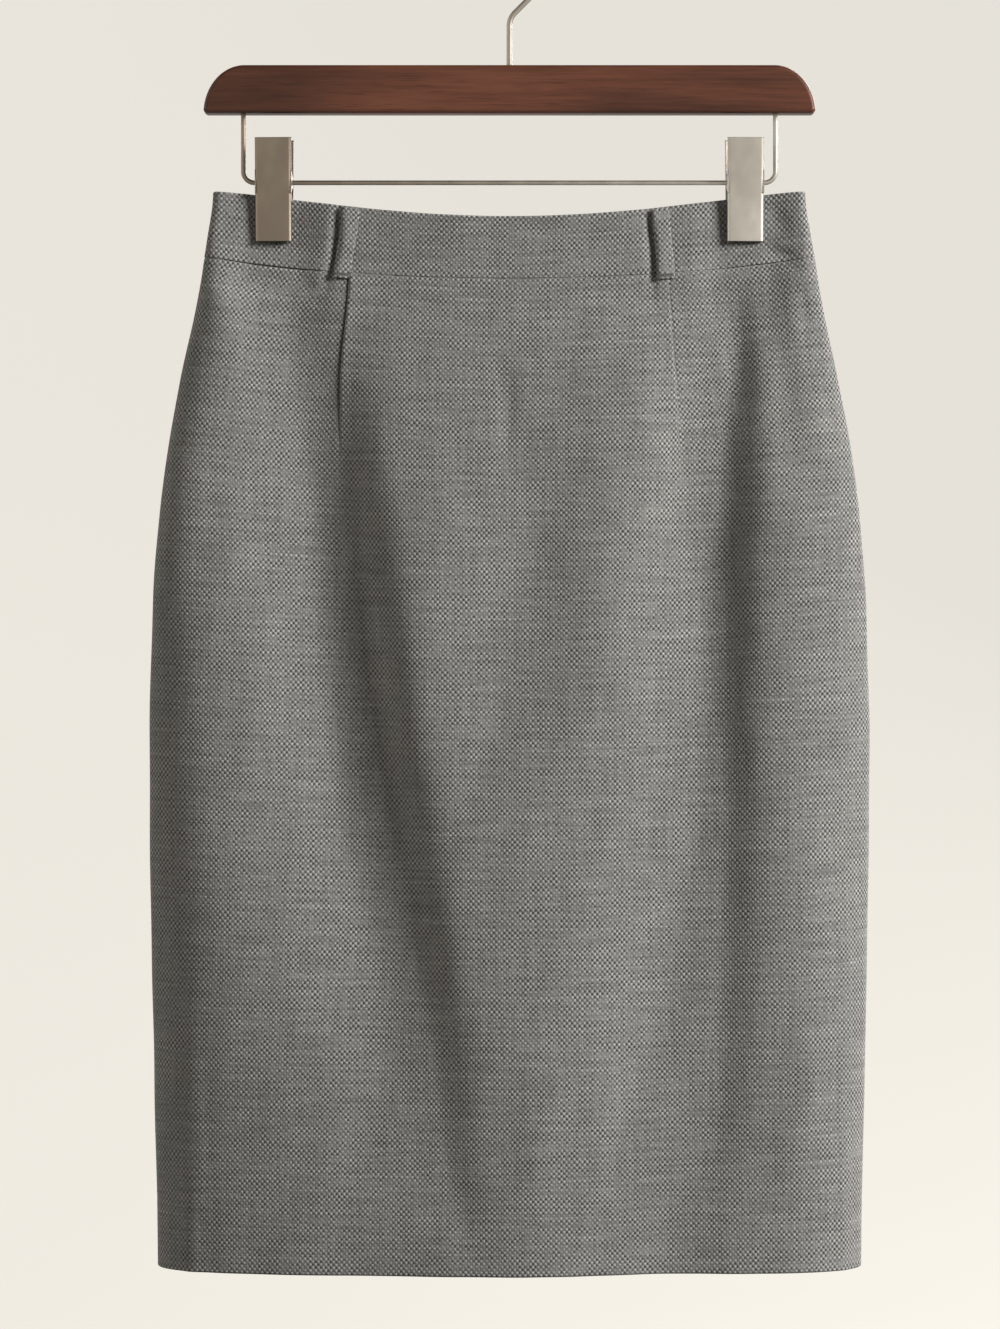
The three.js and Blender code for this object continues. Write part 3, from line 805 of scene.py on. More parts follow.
FOLDS = (
    Fold(Face.FRONT, 48, 17, (
        (45, -94, 0), (104, -100, 5), (209, -90, 9.5), (319, -75, 11), (395, -63, 10), (471, -49, 7.5),
        (552, -38, 4), (625, -28, 1.5),
    )),
    Fold(Face.FRONT, 34, 15, (
        (38, 128, 0), (75, 126, 3.5), (110, 125, 7), (209, 124, 10), (319, 124, 9.5), (395, 122, 7.5),
        (471, 119, 5), (552, 115, 2), (625, 112, 0.6),
    )),
    Fold(Face.FRONT, 42, 30, (
        (60, 5, 0), (140, 8, 1.5), (260, 20, 2.6), (340, 25, 1.8), (430, 30, 0),
    )),
    Fold(Face.BACK, 30, 24, (
        (50, -120, 0), (120, -116, 4), (230, -108, 7), (360, -98, 6), (500, -88, 2.5), (625, -84, 0.5),
    )),
    Fold(Face.BACK, 26, 32, (
        (50, 122, 0), (130, 112, 4.5), (240, 98, 7.5), (380, 84, 5.5), (520, 72, 2), (625, 66, 0.5),
    )),
)

# Where the cloth hangs deeper than its solids, and fuller where a depth is below 0
DEEPER_FOLDS = (
    Fold(Face.FRONT, 46, 35.5, (
        (46, -126, 0), (60, -126, 1.2), (93, -126, 4.5), (128, -122, 9), (170, -116, 12),
        (209, -113, 13.5), (268, -107, 13.5), (338, -101, 13.2), (408, -95, 9.8), (478, -84, 4.6),
        (547, -54, 2.4), (620, -16, 2),
    )),
    Fold(Face.FRONT, 41.5, 46, (
        (46, 143, 0), (60, 143, 1.2), (93, 134, 3.2), (128, 121, 6.3), (170, 110, 10), (209, 106, 11.1),
        (268, 99, 10.4), (338, 91, 9.4), (408, 90, 9.1), (478, 94, 8.8), (547, 100, 10), (620, 87, 12),
    )),
    Fold(Face.FRONT, 42, 31, (
        (60, 54, 0), (93, 46, 0), (128, 38, 0.3), (170, 27, 2.7), (209, 12, 4.4), (268, -3, 4.7),
        (338, -25, 2.8), (408, -56, 2.3), (478, -82, 3), (547, -87, 4), (620, -81, 4.4),
    )),
    Fold(Face.FRONT, 14, 35, (
        (46, -170, 0), (60, -173, -6), (93, -183, -7.8), (128, -197, -8.8), (170, -206, -9),
        (268, -207, -9), (338, -199, -9), (408, -192, -9), (478, -190, -9), (547, -197, -9),
        (620, -199, -9),
    )),
    Fold(Face.FRONT, 33.5, 14, (
        (46, 71, 0), (60, 71, -1.4), (93, 73, -2.2), (128, 77, -1.9), (170, 91, -0.2), (209, 106, 1.5),
        (268, 109, 2), (338, 106, 2), (408, 99, 2), (478, 81, 1.8), (547, 61, 2), (620, 43, 2),
    )),
    Fold(Face.FRONT, 29, 45, (
        (93, 174, 0), (170, 173, -0.9), (209, 173, -1.8), (268, 176, -3.4), (338, 178, -6.1),
        (408, 180, -8.8), (478, 183, -10), (547, 185, -10.5), (620, 194, -11),
    )),
)

RIGHT_FRONT_DART = Dart(
    Face.FRONT, 150,
    (
        (0, -93), (38, -93), (104, -98), (150, -98), (209, -90), (319, -75), (395, -63), (471, -49),
        (625, -30),
    ),
    1.3,
)
LEFT_FRONT_DART = Dart(Face.FRONT, 145, ((0, 91), (38, 92), (145, 98), (625, 98)), 0.4)
LEFT_BACK_DART = Dart(Face.BACK, 160, ((0, 84), (38, 84), (160, 90), (625, 92)))
RIGHT_BACK_DART = Dart(Face.BACK, 160, ((0, -84), (38, -84), (160, -90), (625, -92)))

CREASES = tuple(
    Crease(face, *row)
    for face, rows in (
        (Face.FRONT, (
            ((146, 30), (176, 52), 3.2, 0.7), ((128, 34), (104, 62), 4.0, 0.6),
            ((-128, 34), (-108, 66), 4.5, 0.6), ((-146, 32), (-168, 60), 3.6, 0.5),
            ((-134, 42), (-128, 130), 9.0, 0.9), ((147, 48), (158, 190), 9.0, 1.3),
            ((-170, 110), (-186, 250), 10.0, 0.8), ((-24, 480), (-8, 600), 14.0, 1.0),
            ((62, 400), (70, 590), 16.0, 0.8), ((-150, 330), (-140, 560), 18.0, 0.9),
            ((170, 420), (176, 600), 12.0, 0.7), ((-99.7, -10), (-111, 60), 2.6, 2.7),
            ((76.9, -10), (81.5, 60), 2.4, 2.4), ((-5, 82), (-5, 152), 5.0, 1.3),
            ((132, 48), (136, 140), 8.0, 2.2, 0.0), ((146, 31), (170, 38), 2.2, 1.2),
            ((151, 5), (161, 27), 5.0, 1.0), ((167, 44), (171, 95), 4.0, 1.1),
            ((-181, 410), (-185, 840), 4.2, -1.7, 0.0), ((196, 330), (191, 840), 3.6, -0.8, 0.0),
            ((-60, 52), (-20, 66), 6.0, 0.4), ((70, 50), (24, 68), 6.0, 0.4),
        )),
        (Face.BACK, (
            ((146, 32), (170, 58), 3.6, 0.6), ((-128, 34), (-104, 62), 4.0, 0.6),
            ((128, 34), (106, 66), 4.4, 0.6), ((-146, 32), (-170, 56), 3.4, 0.6),
            ((-150, 120), (-168, 330), 12.0, 1.0), ((36, 210), (30, 420), 15.0, 1.2),
            ((-34, 260), (-26, 520), 18.0, 1.0), ((150, 300), (160, 540), 14.0, 0.9),
        )),
    )
    for row in rows
)

Guide = tuple[Callable[[float, float], float], int]


def strip(
    low: Callable[[float], float], high: Callable[[float], float], steps: int,
    edge: float = EDGE, margin: int = 3,
) -> list[Guide]:
    """Gives the guides of a narrow piece.

    Args:
        low: Where its edge towards -X lies by level.
        high: Where its other edge lies.
        steps: Steps across it.
        edge: Width of each rounded edge.
        margin: Steps across each rounded edge.

    Returns:
        The guides.
    """
    return [
        (lambda level, _: low(level), margin),
        (lambda level, _: low(level) + edge, steps),
        (lambda level, _: high(level) - edge, margin),
        (lambda level, _: high(level), 0),
    ]


def everywhere(value: float) -> Callable[[np.ndarray], np.ndarray]:
    """Gives a value that is the same at every level."""
    return lambda level: 0 * level + value


@dataclass
class Drape:
    """The form that the whole cloth hangs in, which is that of the solids with the deeper folds."""

    grip: float = 2.0
    grip_flat: float = 12.0
    grip_fade: float = 22.0
    samples: int = 481
    waist_z: float = 0.0
    tracks: dict[str, Track] = field(default_factory=dict)

    def __post_init__(self) -> None:
        """Makes a track of each column of the sections."""
        levels = tuple(section.level for section in SECTIONS)
        for name in ("half", "round", "front", "back", "sides", "pinch", "dip", "arch"):
            self.tracks[name] = Track(levels, tuple(getattr(section, name) for section in SECTIONS))

    def value(self, name: str, level: np.ndarray) -> np.ndarray:
        """Gives one column of the sections at some levels."""
        return self.tracks[name].at(level)

    def surface(self, face: Face, turn: np.ndarray, level: np.ndarray) -> np.ndarray:
        """Gives points of the cloth's face.

        Args:
            face: Which face.
            turn: Places across, from -1 at the wearer's right side seam to 1 at the left one.
            level: Places down.

        Returns:
            The points in millimetres.
        """
        turn, level = np.broadcast_arrays(turn, level)
        half, rounded = self.value("half", level), self.value("round", level)
        x = half * np.sin(turn * math.pi / 2)
        share = np.maximum(0, (np.abs(x) - (half - rounded)) / rounded)
        closing = np.sqrt(np.maximum(0, 1 - share**2))
        sides = self.value("sides", level)
        middle = (1 + np.cos(math.pi * np.minimum(1, np.abs(x) / CLIP_X))) / 2
        full = self.value("front" if face is Face.FRONT else "back", level)
        loose = full * (sides + (1 - sides) * middle)
        away = np.abs(np.abs(x) - CLIP_X)
        held = self.value("pinch", level) * (1 - ease((away - self.grip_flat) / self.grip_fade))
        folds = sum(fold.depth(x, level) for fold in (*FOLDS, *DEEPER_FOLDS) if fold.face is face)
        depth = closing * (loose + (self.grip - loose) * held - folds)
        hollow = np.maximum(0, 1 - (x / half) ** 2) ** self.value("arch", level)
        z = self.waist_z - level - self.value("dip", level) * hollow
        return np.stack([x, face.value * depth, z], -1)

    def moved(self, face: Face, turn: np.ndarray, level: np.ndarray, out: np.ndarray) -> np.ndarray:
        """Gives the same points moved out of the cloth's face.

        Args:
            face: Which face.
            turn: Places across.
            level: Places down.
            out: Distances out, below 0 for the inside.

        Returns:
            The points in millimetres.
        """
        turn, level, out = np.broadcast_arrays(turn, level, out)
        step, rise = 0.002, 0.5
        ahead, behind = np.minimum(1, turn + step), np.maximum(-1, turn - step)
        across = self.surface(face, ahead, level) - self.surface(face, behind, level)
        below, above = np.minimum(SKIRT_LENGTH, level + rise), np.maximum(0, level - rise)
        down = self.surface(face, turn, below) - self.surface(face, turn, above)
        normal = np.cross(across, down)
        normal /= np.linalg.norm(normal, axis=-1)[..., None]
        normal[normal[..., 1] * face.value < 0] *= -1
        edge = np.abs(turn) >= 1
        normal[edge] = np.stack([np.sign(turn[edge]), 0 * turn[edge], 0 * turn[edge]], -1)
        points = self.surface(face, turn, level) + normal * out[..., None]
        points[..., 1] += face.value * GAP / 2
        return points

    def columns(
        self, face: Face, guides: Sequence[Guide], level: np.ndarray
    ) -> tuple[np.ndarray, np.ndarray]:
        """Spreads columns evenly along the cloth between guides.

        Args:
            face: Which face.
            guides: Where each guide lies, by level and half width, and the steps to the next one.
            level: The levels.

        Returns:
            The turns of the columns at each level, and their distances along the cloth from the middle.
        """
        samples = np.linspace(-1, 1, self.samples)
        points = self.surface(face, samples[None, :], level[:, None])
        steps = np.linalg.norm(np.diff(points, axis=1), axis=2)
        lengths = np.concatenate([np.zeros((len(level), 1)), np.cumsum(steps, 1)], 1)
        turns, runs = [], []
        for row, own in zip(level, lengths):
            half = float(self.value("half", row))
            places = [np.clip(float(place(row, half)) / half, -1, 1) for place, _ in guides]
            marks = np.interp([2 / math.pi * math.asin(place) for place in places], samples, own)
            spread = [marks[:1]]
            for (_, count), low, high in zip(guides, marks, marks[1:]):
                spread.append(np.linspace(low, high, count + 1)[1:])
            run = np.concatenate(spread)
            turns.append(np.interp(run, own, samples))
            runs.append(run - np.interp(0, samples, own))
        return np.array(turns), np.array(runs)


@dataclass
class Relief:
    """Fine tailoring of the cloth: seams, darts, creases and a slight waviness."""

    dart_draw: float = 0.7
    dart_fade: float = 45.0
    dart_slope: float = 9.0
    dart_crisp: float = 0.25
    tip_depth: float = 0.55
    side_depth: float = 0.4
    side_puff: float = 0.12
    band_puff: float = 0.4
    band_pucker: float = 0.1
    hem_depth: float = 0.12
    stitch: float = 9.0
    seed: int = 11
    wave_count: int = 26
    waves: list[tuple[float, float, float, float]] = field(default_factory=list)

    def __post_init__(self) -> None:
        """Draws the waves of the cloth: cycles across and down, phase and height."""
        draw = np.random.default_rng(self.seed)
        for _ in range(self.wave_count):
            across, down = draw.uniform(0.05, 0.22), draw.uniform(0.012, 0.1)
            sign = draw.choice([-1, 1])
            self.waves.append((across, sign * down, draw.uniform(0, 2 * math.pi), draw.uniform(0.02, 0.07)))

    def height(
        self, face: Face, x: np.ndarray, level: np.ndarray, half: np.ndarray, darts: Sequence[Dart]
    ) -> np.ndarray:
        """Gives how far the tailoring moves the cloth out.

        Args:
            face: Which face.
            x: Places across.
            level: Places down.
            half: Half widths at those levels.
            darts: The darts of the piece.

        Returns:
            The heights in millimetres.
        """
        total = sum(crease.height(x, level) for crease in CREASES if crease.face is face)
        for across, down, phase, high in self.waves:
            total = total + high * np.sin(across * x + down * level + phase)
        for dart in darts:
            away = x - dart.x(level)
            inward = -away * math.copysign(1, dart.path[0][1])
            fade = np.clip((dart.end - level) / self.dart_fade, 0, 1) * (level > BAND_HEIGHT)
            rise = 1 + np.exp(np.minimum(-inward / self.dart_crisp, 50))
            raised = np.exp(-np.maximum(inward, 0) / self.dart_slope) / rise
            total = total + fade * dart.step * (raised - self.dart_draw * bell(inward + 0.5, 0.7))
            tip = ((away - 1) / 7) ** 2 + ((level - dart.end - 4) / 10) ** 2
            total = total - self.tip_depth * np.exp(-tip)
        side = half - np.abs(x)
        total = total - self.side_depth * bell(side, 0.7) + self.side_puff * bell(side - 4, 3)
        hem = self.hem_depth * bell(level - (SKIRT_LENGTH - HEM_TURN), 1.5)
        return total + self.band_seam(x, level) - hem * (0.6 + 0.4 * np.cos(2 * math.pi * x / self.stitch))

    def band_seam(self, x: np.ndarray, level: np.ndarray) -> np.ndarray:
        """Gives how far the seam below the waistband moves the cloth out.

        Args:
            x: Places across.
            level: Places down.

        Returns:
            The heights in millimetres.
        """
        below = level - BAND_HEIGHT
        firm = 0.2 + 0.6 / (1 + np.exp((x + 92) / 4)) + 0.35 * bell(x - 148, 24)
        firm = firm * (1 + 0.5 * np.sin(x * 0.09 + 1.3) + 0.3 * np.sin(x * 0.83))
        fade = np.exp(-np.maximum(below, 0) / 9)
        pucker = self.band_pucker * np.sin(x * 0.55) * np.sin(x * 0.23 + 1) * fade
        return (self.band_puff * bell(below, 9) - firm * bell(below, 1.1) + pucker) * (below > 0)


@dataclass
class Layer:
    """One piece of cloth on a face of the drape, as a wall that closes with round edges.

    The stretches have rows of a level and the steps from it to the next one. The ends say how round the
    upper and the lower edge are, from 0 for square to 1.
    """

    name: str
    face: Face
    guides: Sequence[Guide]
    stretches: Sequence[tuple[float, int]]
    outer: Callable[[np.ndarray], np.ndarray]
    thick: Callable[[np.ndarray], np.ndarray]
    darts: Sequence[Dart] = ()
    extra: Callable[[np.ndarray, np.ndarray], np.ndarray] | None = None
    weave_shift: tuple[float, float] = (0.0, 0.0)
    edge: float = EDGE
    thinnest: float = 0.35
    sharp_degrees: float = 75.0
    ends: tuple[float, float] = (1.0, 1.0)
    flat: tuple[float, float] = (0.0, 0.0)

    def rows(self) -> tuple[np.ndarray, np.ndarray]:
        """Gives the levels of the rows, and the share of the thickness that each one has.

        Returns:
            The levels from the top down, and the shares.
        """
        marks = [mark for mark, _ in self.stretches]
        limits = zip((marks[0], marks[-1]), self.ends)
        radii = [float(self.thick(np.array(level))) / 2 * end for level, end in limits]
        marks[0] += radii[0]
        marks[-1] -= radii[1]
        spread = [
            np.linspace(low, high, count + 1)[:-1]
            for (_, count), low, high in zip(self.stretches, marks, marks[1:])
        ]
        angles = np.radians([20, 50, 80])
        upper = marks[0] - radii[0] * np.cos(angles)
        lower = marks[-1] + radii[1] * np.cos(angles[::-1])
        body = np.concatenate([*spread, marks[-1:]])
        closing = [1 - end * (1 - np.sin(angles)) for end in self.ends]
        share = np.concatenate([closing[0], np.ones(len(body)), closing[1][::-1]])
        return np.concatenate([upper, body, lower]), share

    def build(self, drape: Drape, relief: Relief, material: bpy.types.Material) -> bpy.types.Object:
        """Makes the piece, and works out its flat size.

        Args:
            drape: The form of the cloth.
            relief: Its fine tailoring.
            material: Its cloth.

        Returns:
            The object.
        """
        level, share = self.rows()
        turns, runs = drape.columns(self.face, self.guides, level)
        grid = np.broadcast_to(level[:, None], turns.shape)
        half = drape.value("half", grid)
        x = half * np.sin(turns * math.pi / 2)
        lift = relief.height(self.face, x, grid, half, self.darts)
        if self.extra is not None:
            lift = lift + self.extra(x, grid)
        near = np.minimum(runs - runs[:, :1], runs[:, -1:] - runs)
        rounded = np.sqrt(1 - (1 - np.clip(near / self.edge, 0, 1)) ** 2)
        reach = (self.thick(level) / 2 * share)[:, None] * np.maximum(rounded, self.thinnest)
        middle = (self.outer(level) - self.thick(level) / 2)[:, None] + lift
        layers = [drape.moved(self.face, turns, grid, middle + side * reach) for side in (1, -1)]
        points = np.concatenate([layers[0], layers[1][::-1]])
        count, columns, _ = points.shape
        faces = band_faces(count, columns)
        last = (count - 1) * columns
        faces += [(last + j, last + j + 1, j + 1, j) for j in range(columns - 1)]
        for j in (0, columns - 1):
            for k in range(count // 2 - 1):
                at, across = k * columns + j, (count - 1 - k) * columns + j
                quad = (at, at + columns, across - columns, across)
                faces.append(quad if j == 0 else quad[::-1])
        self.flat = (float(np.ptp(runs, axis=1).max()), float(level[-1] - level[0]))
        weave = np.stack([runs + self.taken_up(x, grid), grid], -1) + self.weave_shift
        weave = np.concatenate([weave, weave[::-1]]).reshape(-1, 2)
        return build_mesh(self.name, points.reshape(-1, 3), faces, material, weave, self.sharp_degrees)

    def taken_up(self, x: np.ndarray, level: np.ndarray) -> np.ndarray:
        """Gives how far the darts have shifted the weave beside them.

        Args:
            x: Places across.
            level: Places down.

        Returns:
            The shifts in millimetres.
        """
        total = np.zeros_like(x)
        for dart in self.darts:
            side = math.copysign(1, dart.path[0][1])
            taken = dart.take_up * np.clip(1 - level / dart.end, 0, 1)
            total = total + side * taken * ((x - dart.x(level)) * side > 0)
        return total


# Repeats made with Geometry Nodes


class Repeat(Nodes):
    """A Geometry Nodes tree with named sizes, which ends in real geometry with a material."""

    def __init__(self, name: str, sizes: Mapping[str, float | int]) -> None:
        """Makes the tree's inputs.

        Args:
            name: The tree's name.
            sizes: Its named inputs, with lengths in metres.
        """
        self.tree = bpy.data.node_groups.new(name, "GeometryNodeTree")
        self.sizes = dict(sizes)
        face = self.tree.interface
        face.new_socket("Geometry", in_out="INPUT", socket_type="NodeSocketGeometry")
        for label, value in sizes.items():
            kind = "NodeSocketInt" if isinstance(value, int) else "NodeSocketFloat"
            face.new_socket(label, in_out="INPUT", socket_type=kind)
        face.new_socket("Geometry", in_out="OUTPUT", socket_type="NodeSocketGeometry")
        self.given = self.tree.nodes.new("NodeGroupInput").outputs

    def vector(self, x: Any, y: Any, z: Any) -> bpy.types.NodeSocket:
        """Puts three numbers or sockets into a vector."""
        return self.node("ShaderNodeCombineXYZ", None, {0: x, 1: y, 2: z}).outputs[0]

    def times(self, value: bpy.types.NodeSocket, factor: float) -> bpy.types.NodeSocket:
        """Multiplies a number."""
        return self.node("ShaderNodeMath", {"operation": "MULTIPLY"}, {0: value, 1: factor}).outputs[0]

    def stations(self, step: bpy.types.NodeSocket) -> bpy.types.NodeSocket:
        """Gives points along the paths, one step apart."""
        path = self.node("GeometryNodeMeshToCurve", None, {"Mesh": self.given["Geometry"]}).outputs["Curve"]
        inputs = {"Curve": path, "Length": step}
        return self.node("GeometryNodeResampleCurve", {"mode": "LENGTH"}, inputs).outputs["Curve"]

    def moved(self, geometry: bpy.types.NodeSocket, **how: Any) -> bpy.types.NodeSocket:
        """Moves, turns or scales geometry."""
        return self.node("GeometryNodeTransform", None, {"Geometry": geometry, **how}).outputs["Geometry"]

    def copies(
        self, points: bpy.types.NodeSocket, item: bpy.types.NodeSocket, **how: Any
    ) -> bpy.types.NodeSocket:
        """Puts a copy of an item on each point."""
        inputs = {"Points": points, "Instance": item, **how}
        return self.node("GeometryNodeInstanceOnPoints", None, inputs).outputs["Instances"]

    def thread(self, curve: bpy.types.NodeSocket, radius: Any, sides: int) -> bpy.types.NodeSocket:
        """Makes a round strand along a curve, with closed ends.

        Args:
            curve: The curve.
            radius: Its radius.
            sides: Sides of its section.

        Returns:
            The mesh.
        """
        ring = self.node("GeometryNodeCurvePrimitiveCircle", None, {"Resolution": sides, "Radius": radius})
        inputs = {"Curve": curve, "Profile Curve": ring.outputs["Curve"], "Fill Caps": True}
        return self.node("GeometryNodeCurveToMesh", None, inputs).outputs["Mesh"]

    def close(self, geometry: bpy.types.NodeSocket, material: bpy.types.Material) -> None:
        """Ends the tree.

        Args:
            geometry: What it makes.
            material: The material of all of it.
        """
        real = self.node("GeometryNodeRealizeInstances", None, {"Geometry": geometry})
        inputs = {"Geometry": real.outputs["Geometry"], "Material": material}
        painted = self.node("GeometryNodeSetMaterial", None, inputs)
        output = self.tree.nodes.new("NodeGroupOutput")
        self.tree.links.new(painted.outputs["Geometry"], output.inputs["Geometry"])

    def run(self, name: str, paths: Sequence[np.ndarray]) -> bpy.types.Object:
        """Runs the tree on paths of points in millimetres, and makes the result a plain mesh.

        Args:
            name: The new object's name.
            paths: Open paths, each with one row a point. A tree that draws its own path gets none.

        Returns:
            The object.
        """
        points, edges = [], []
        for path in paths:
            edges += [(len(points) + i, len(points) + i + 1) for i in range(len(path) - 1)]
            points += (path * MM).tolist()
        carrier_mesh = bpy.data.meshes.new(name + "_path")
        carrier_mesh.from_pydata(points, edges, [])
        carrier = add_object(name + "_path", carrier_mesh)
        modifier = carrier.modifiers.new("Repeat", "NODES")
        modifier.node_group = self.tree
        for item in self.tree.interface.items_tree:
            if item.in_out == "INPUT" and item.name in self.sizes:
                modifier[item.identifier] = self.sizes[item.name]
        mesh = baked(carrier)
        mesh.name = name
        shade_smooth(mesh)
        bpy.data.objects.remove(carrier)
        bpy.data.meshes.remove(carrier_mesh)
        return add_object(name, mesh)


def stitch_row(
    name: str, length: float, spacing: float, slant: float, radius: float, material: bpy.types.Material
) -> Repeat:
    """Makes a tree that sets short straight stitches along its paths.

    Args:
        name: The tree's name.
        length: Length of a stitch.
        spacing: From one stitch to the next.
        slant: Degrees from the path's direction.
        radius: Radius of the thread.
        material: The thread.

    Returns:
        The tree.
    """
    sizes = {
        "Length": length * MM, "Spacing": spacing * MM, "Slant": math.radians(slant),
        "Thread": radius * MM, "Seed": 7,
    }
    repeat = Repeat(name, sizes)
    given = repeat.given
    spaced = repeat.stations(given["Spacing"])
    tangent = repeat.node("GeometryNodeInputTangent").outputs["Tangent"]
    facing = repeat.node("FunctionNodeAlignRotationToVector", {"axis": "X"}, {"Vector": tangent})
    limits = {2: -0.12, 3: 0.12, "Seed": given["Seed"]}
    jitter = repeat.node("FunctionNodeRandomValue", {"data_type": "FLOAT"}, limits)
    lean = repeat.node("ShaderNodeMath", {"operation": "ADD"}, {0: given["Slant"], 1: jitter.outputs[1]})
    turned = repeat.node(
        "FunctionNodeRotateRotation", {"rotation_space": "LOCAL"},
        {"Rotation": facing.outputs["Rotation"], "Rotate By": repeat.vector(0.0, lean.outputs[0], 0.0)},
    )
    half = repeat.times(given["Length"], 0.5)
    line = repeat.node(
        "GeometryNodeCurvePrimitiveLine", None,
        {"Start": repeat.vector(repeat.times(half, -1.0), 0.0, 0.0), "End": repeat.vector(half, 0.0, 0.0)},
    )
    stitch = repeat.thread(line.outputs["Curve"], given["Thread"], 6)
    repeat.close(repeat.copies(spaced, stitch, Rotation=turned.outputs["Rotation"]), material)
    return repeat


def coil_rows(
    pitch: float, reach: float, depth: float, radius: float, material: bpy.types.Material
) -> Repeat:
    """Makes a tree that sets the two meshing rows of a zip's coil along its path.

    Args:
        pitch: From one turn to the next.
        reach: Half the width of a turn.
        depth: Half the depth of a turn.
        radius: Radius of the filament.
        material: The filament.

    Returns:
        The tree.
    """
    sizes = {"Pitch": pitch * MM, "Reach": reach * MM, "Depth": depth * MM, "Filament": radius * MM}
    repeat = Repeat("coil_rows", sizes)
    given = repeat.given
    ring = repeat.node("GeometryNodeCurvePrimitiveCircle", None, {"Resolution": 12, "Radius": 1.0})
    oval = repeat.moved(ring.outputs["Curve"], Scale=repeat.vector(given["Reach"], given["Depth"], 1.0))
    turn = repeat.thread(oval, given["Filament"], 5)
    spaced = repeat.stations(given["Pitch"])
    rows = repeat.node("GeometryNodeJoinGeometry")
    for side in (-1.0, 1.0):
        across = repeat.times(given["Reach"], side * 0.72)
        along = repeat.times(given["Pitch"], side * 0.25)
        row = repeat.moved(repeat.copies(spaced, turn), Translation=repeat.vector(across, 0.0, along))
        repeat.feed(rows.inputs[0], row)
    repeat.close(rows.outputs[0], material)
    return repeat


def wound_spring(
    x: float, z: float, half: float, radius: float, wire: float, turns: float, material: bpy.types.Material
) -> Repeat:
    """Makes a tree that winds a coil spring round a line along X.

    Args:
        x: Middle of the spring.
        z: Height of its axis.
        half: Half its length.
        radius: Outer radius.
        wire: Radius of its wire.
        turns: Number of turns.
        material: The metal.

    Returns:
        The tree.
    """
    sizes = {
        "Middle": x * MM, "Axis height": z * MM, "Length": 2 * (half - wire) * MM,
        "Radius": (radius - wire) * MM, "Wire": wire * MM, "Turns": turns,
    }
    repeat = Repeat("wound_spring", sizes)
    given = repeat.given
    helix = repeat.node(
        "GeometryNodeCurveSpiral", None,
        {
            "Resolution": 20, "Rotations": given["Turns"], "Start Radius": given["Radius"],
            "End Radius": given["Radius"], "Height": given["Length"],
        },
    )
    shift = repeat.vector(0.0, 0.0, repeat.times(given["Length"], -0.5))
    strand = repeat.thread(repeat.moved(helix.outputs["Curve"], Translation=shift), given["Wire"], 10)
    middle = repeat.vector(given["Middle"], 0.0, given["Axis height"])
    placed = repeat.moved(strand, Rotation=(0.0, math.pi / 2, 0.0), Translation=middle)
    repeat.close(placed, material)
    return repeat


# Finishing of pieces


def place(piece: bpy.types.Object, slot: Slot, *nodes: str, body: str = GARMENT) -> bpy.types.Object:
    """Puts a piece on its body, and hides the nodes that it stands for.

    Args:
        piece: The piece.
        slot: Not used.
        nodes: The nodes that it replaces.
        body: The body that it rides on.

    Returns:
        The piece.
    """
    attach(piece, body)
    if nodes:
        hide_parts(*nodes)
    LOG.info("%s: %d faces", piece.name, len(piece.data.polygons))
    return piece


def soften(piece: bpy.types.Object, width: float, segments: int = 3) -> bpy.types.Object:
    """Rounds the edges of a hard piece.

    Args:
        piece: The piece.
        width: Width of the rounding in millimetres.
        segments: Its segments.

    Returns:
        The piece.
    """
    bevel = piece.modifiers.new("Bevel", "BEVEL")
    bevel.width = width * MM
    bevel.segments = segments
    bevel.limit_method = "ANGLE"
    bevel.angle_limit = math.radians(BEVEL_ANGLE)
    mesh = baked(piece)
    piece.modifiers.clear()
    piece.data = mesh
    shade_smooth(mesh)
    mesh.set_sharp_from_angle(angle=math.radians(CRISP_ANGLE))
    return piece


def rounded_copy(
    name: str, node: bpy.types.Object, material: bpy.types.Material, width: float
) -> bpy.types.Object:
    """Makes a hard piece from a node's own faces, with its edges rounded.

    Args:
        name: The piece's name.
        node: The node.
        material: Its material.
        width: Width of the rounding in millimetres.

    Returns:
        The piece.
    """
    mesh = node.data.copy()
    mesh.name = name
    work = bmesh.new()
    work.from_mesh(mesh)
    bmesh.ops.remove_doubles(work, verts=work.verts, dist=0.002 * MM)
    bmesh.ops.dissolve_limit(work, angle_limit=math.radians(2), verts=work.verts, edges=work.edges)
    work.to_mesh(mesh)
    work.free()
    mesh.materials.clear()
    mesh.materials.append(material)
    return soften(add_object(name, mesh), width, 2)


def prism(outline: np.ndarray, low: float, high: float) -> Solid:
    """Makes a prism along X from an outline in Y and Z.

    Args:
        outline: Its points, as Y and Z.
        low: Its lowest X.
        high: Its highest X.

    Returns:
        The points and the faces.
    """
    rings = [np.column_stack([np.full(len(outline), x), outline]) for x in (low, high)]
    return tube(np.array(rings))


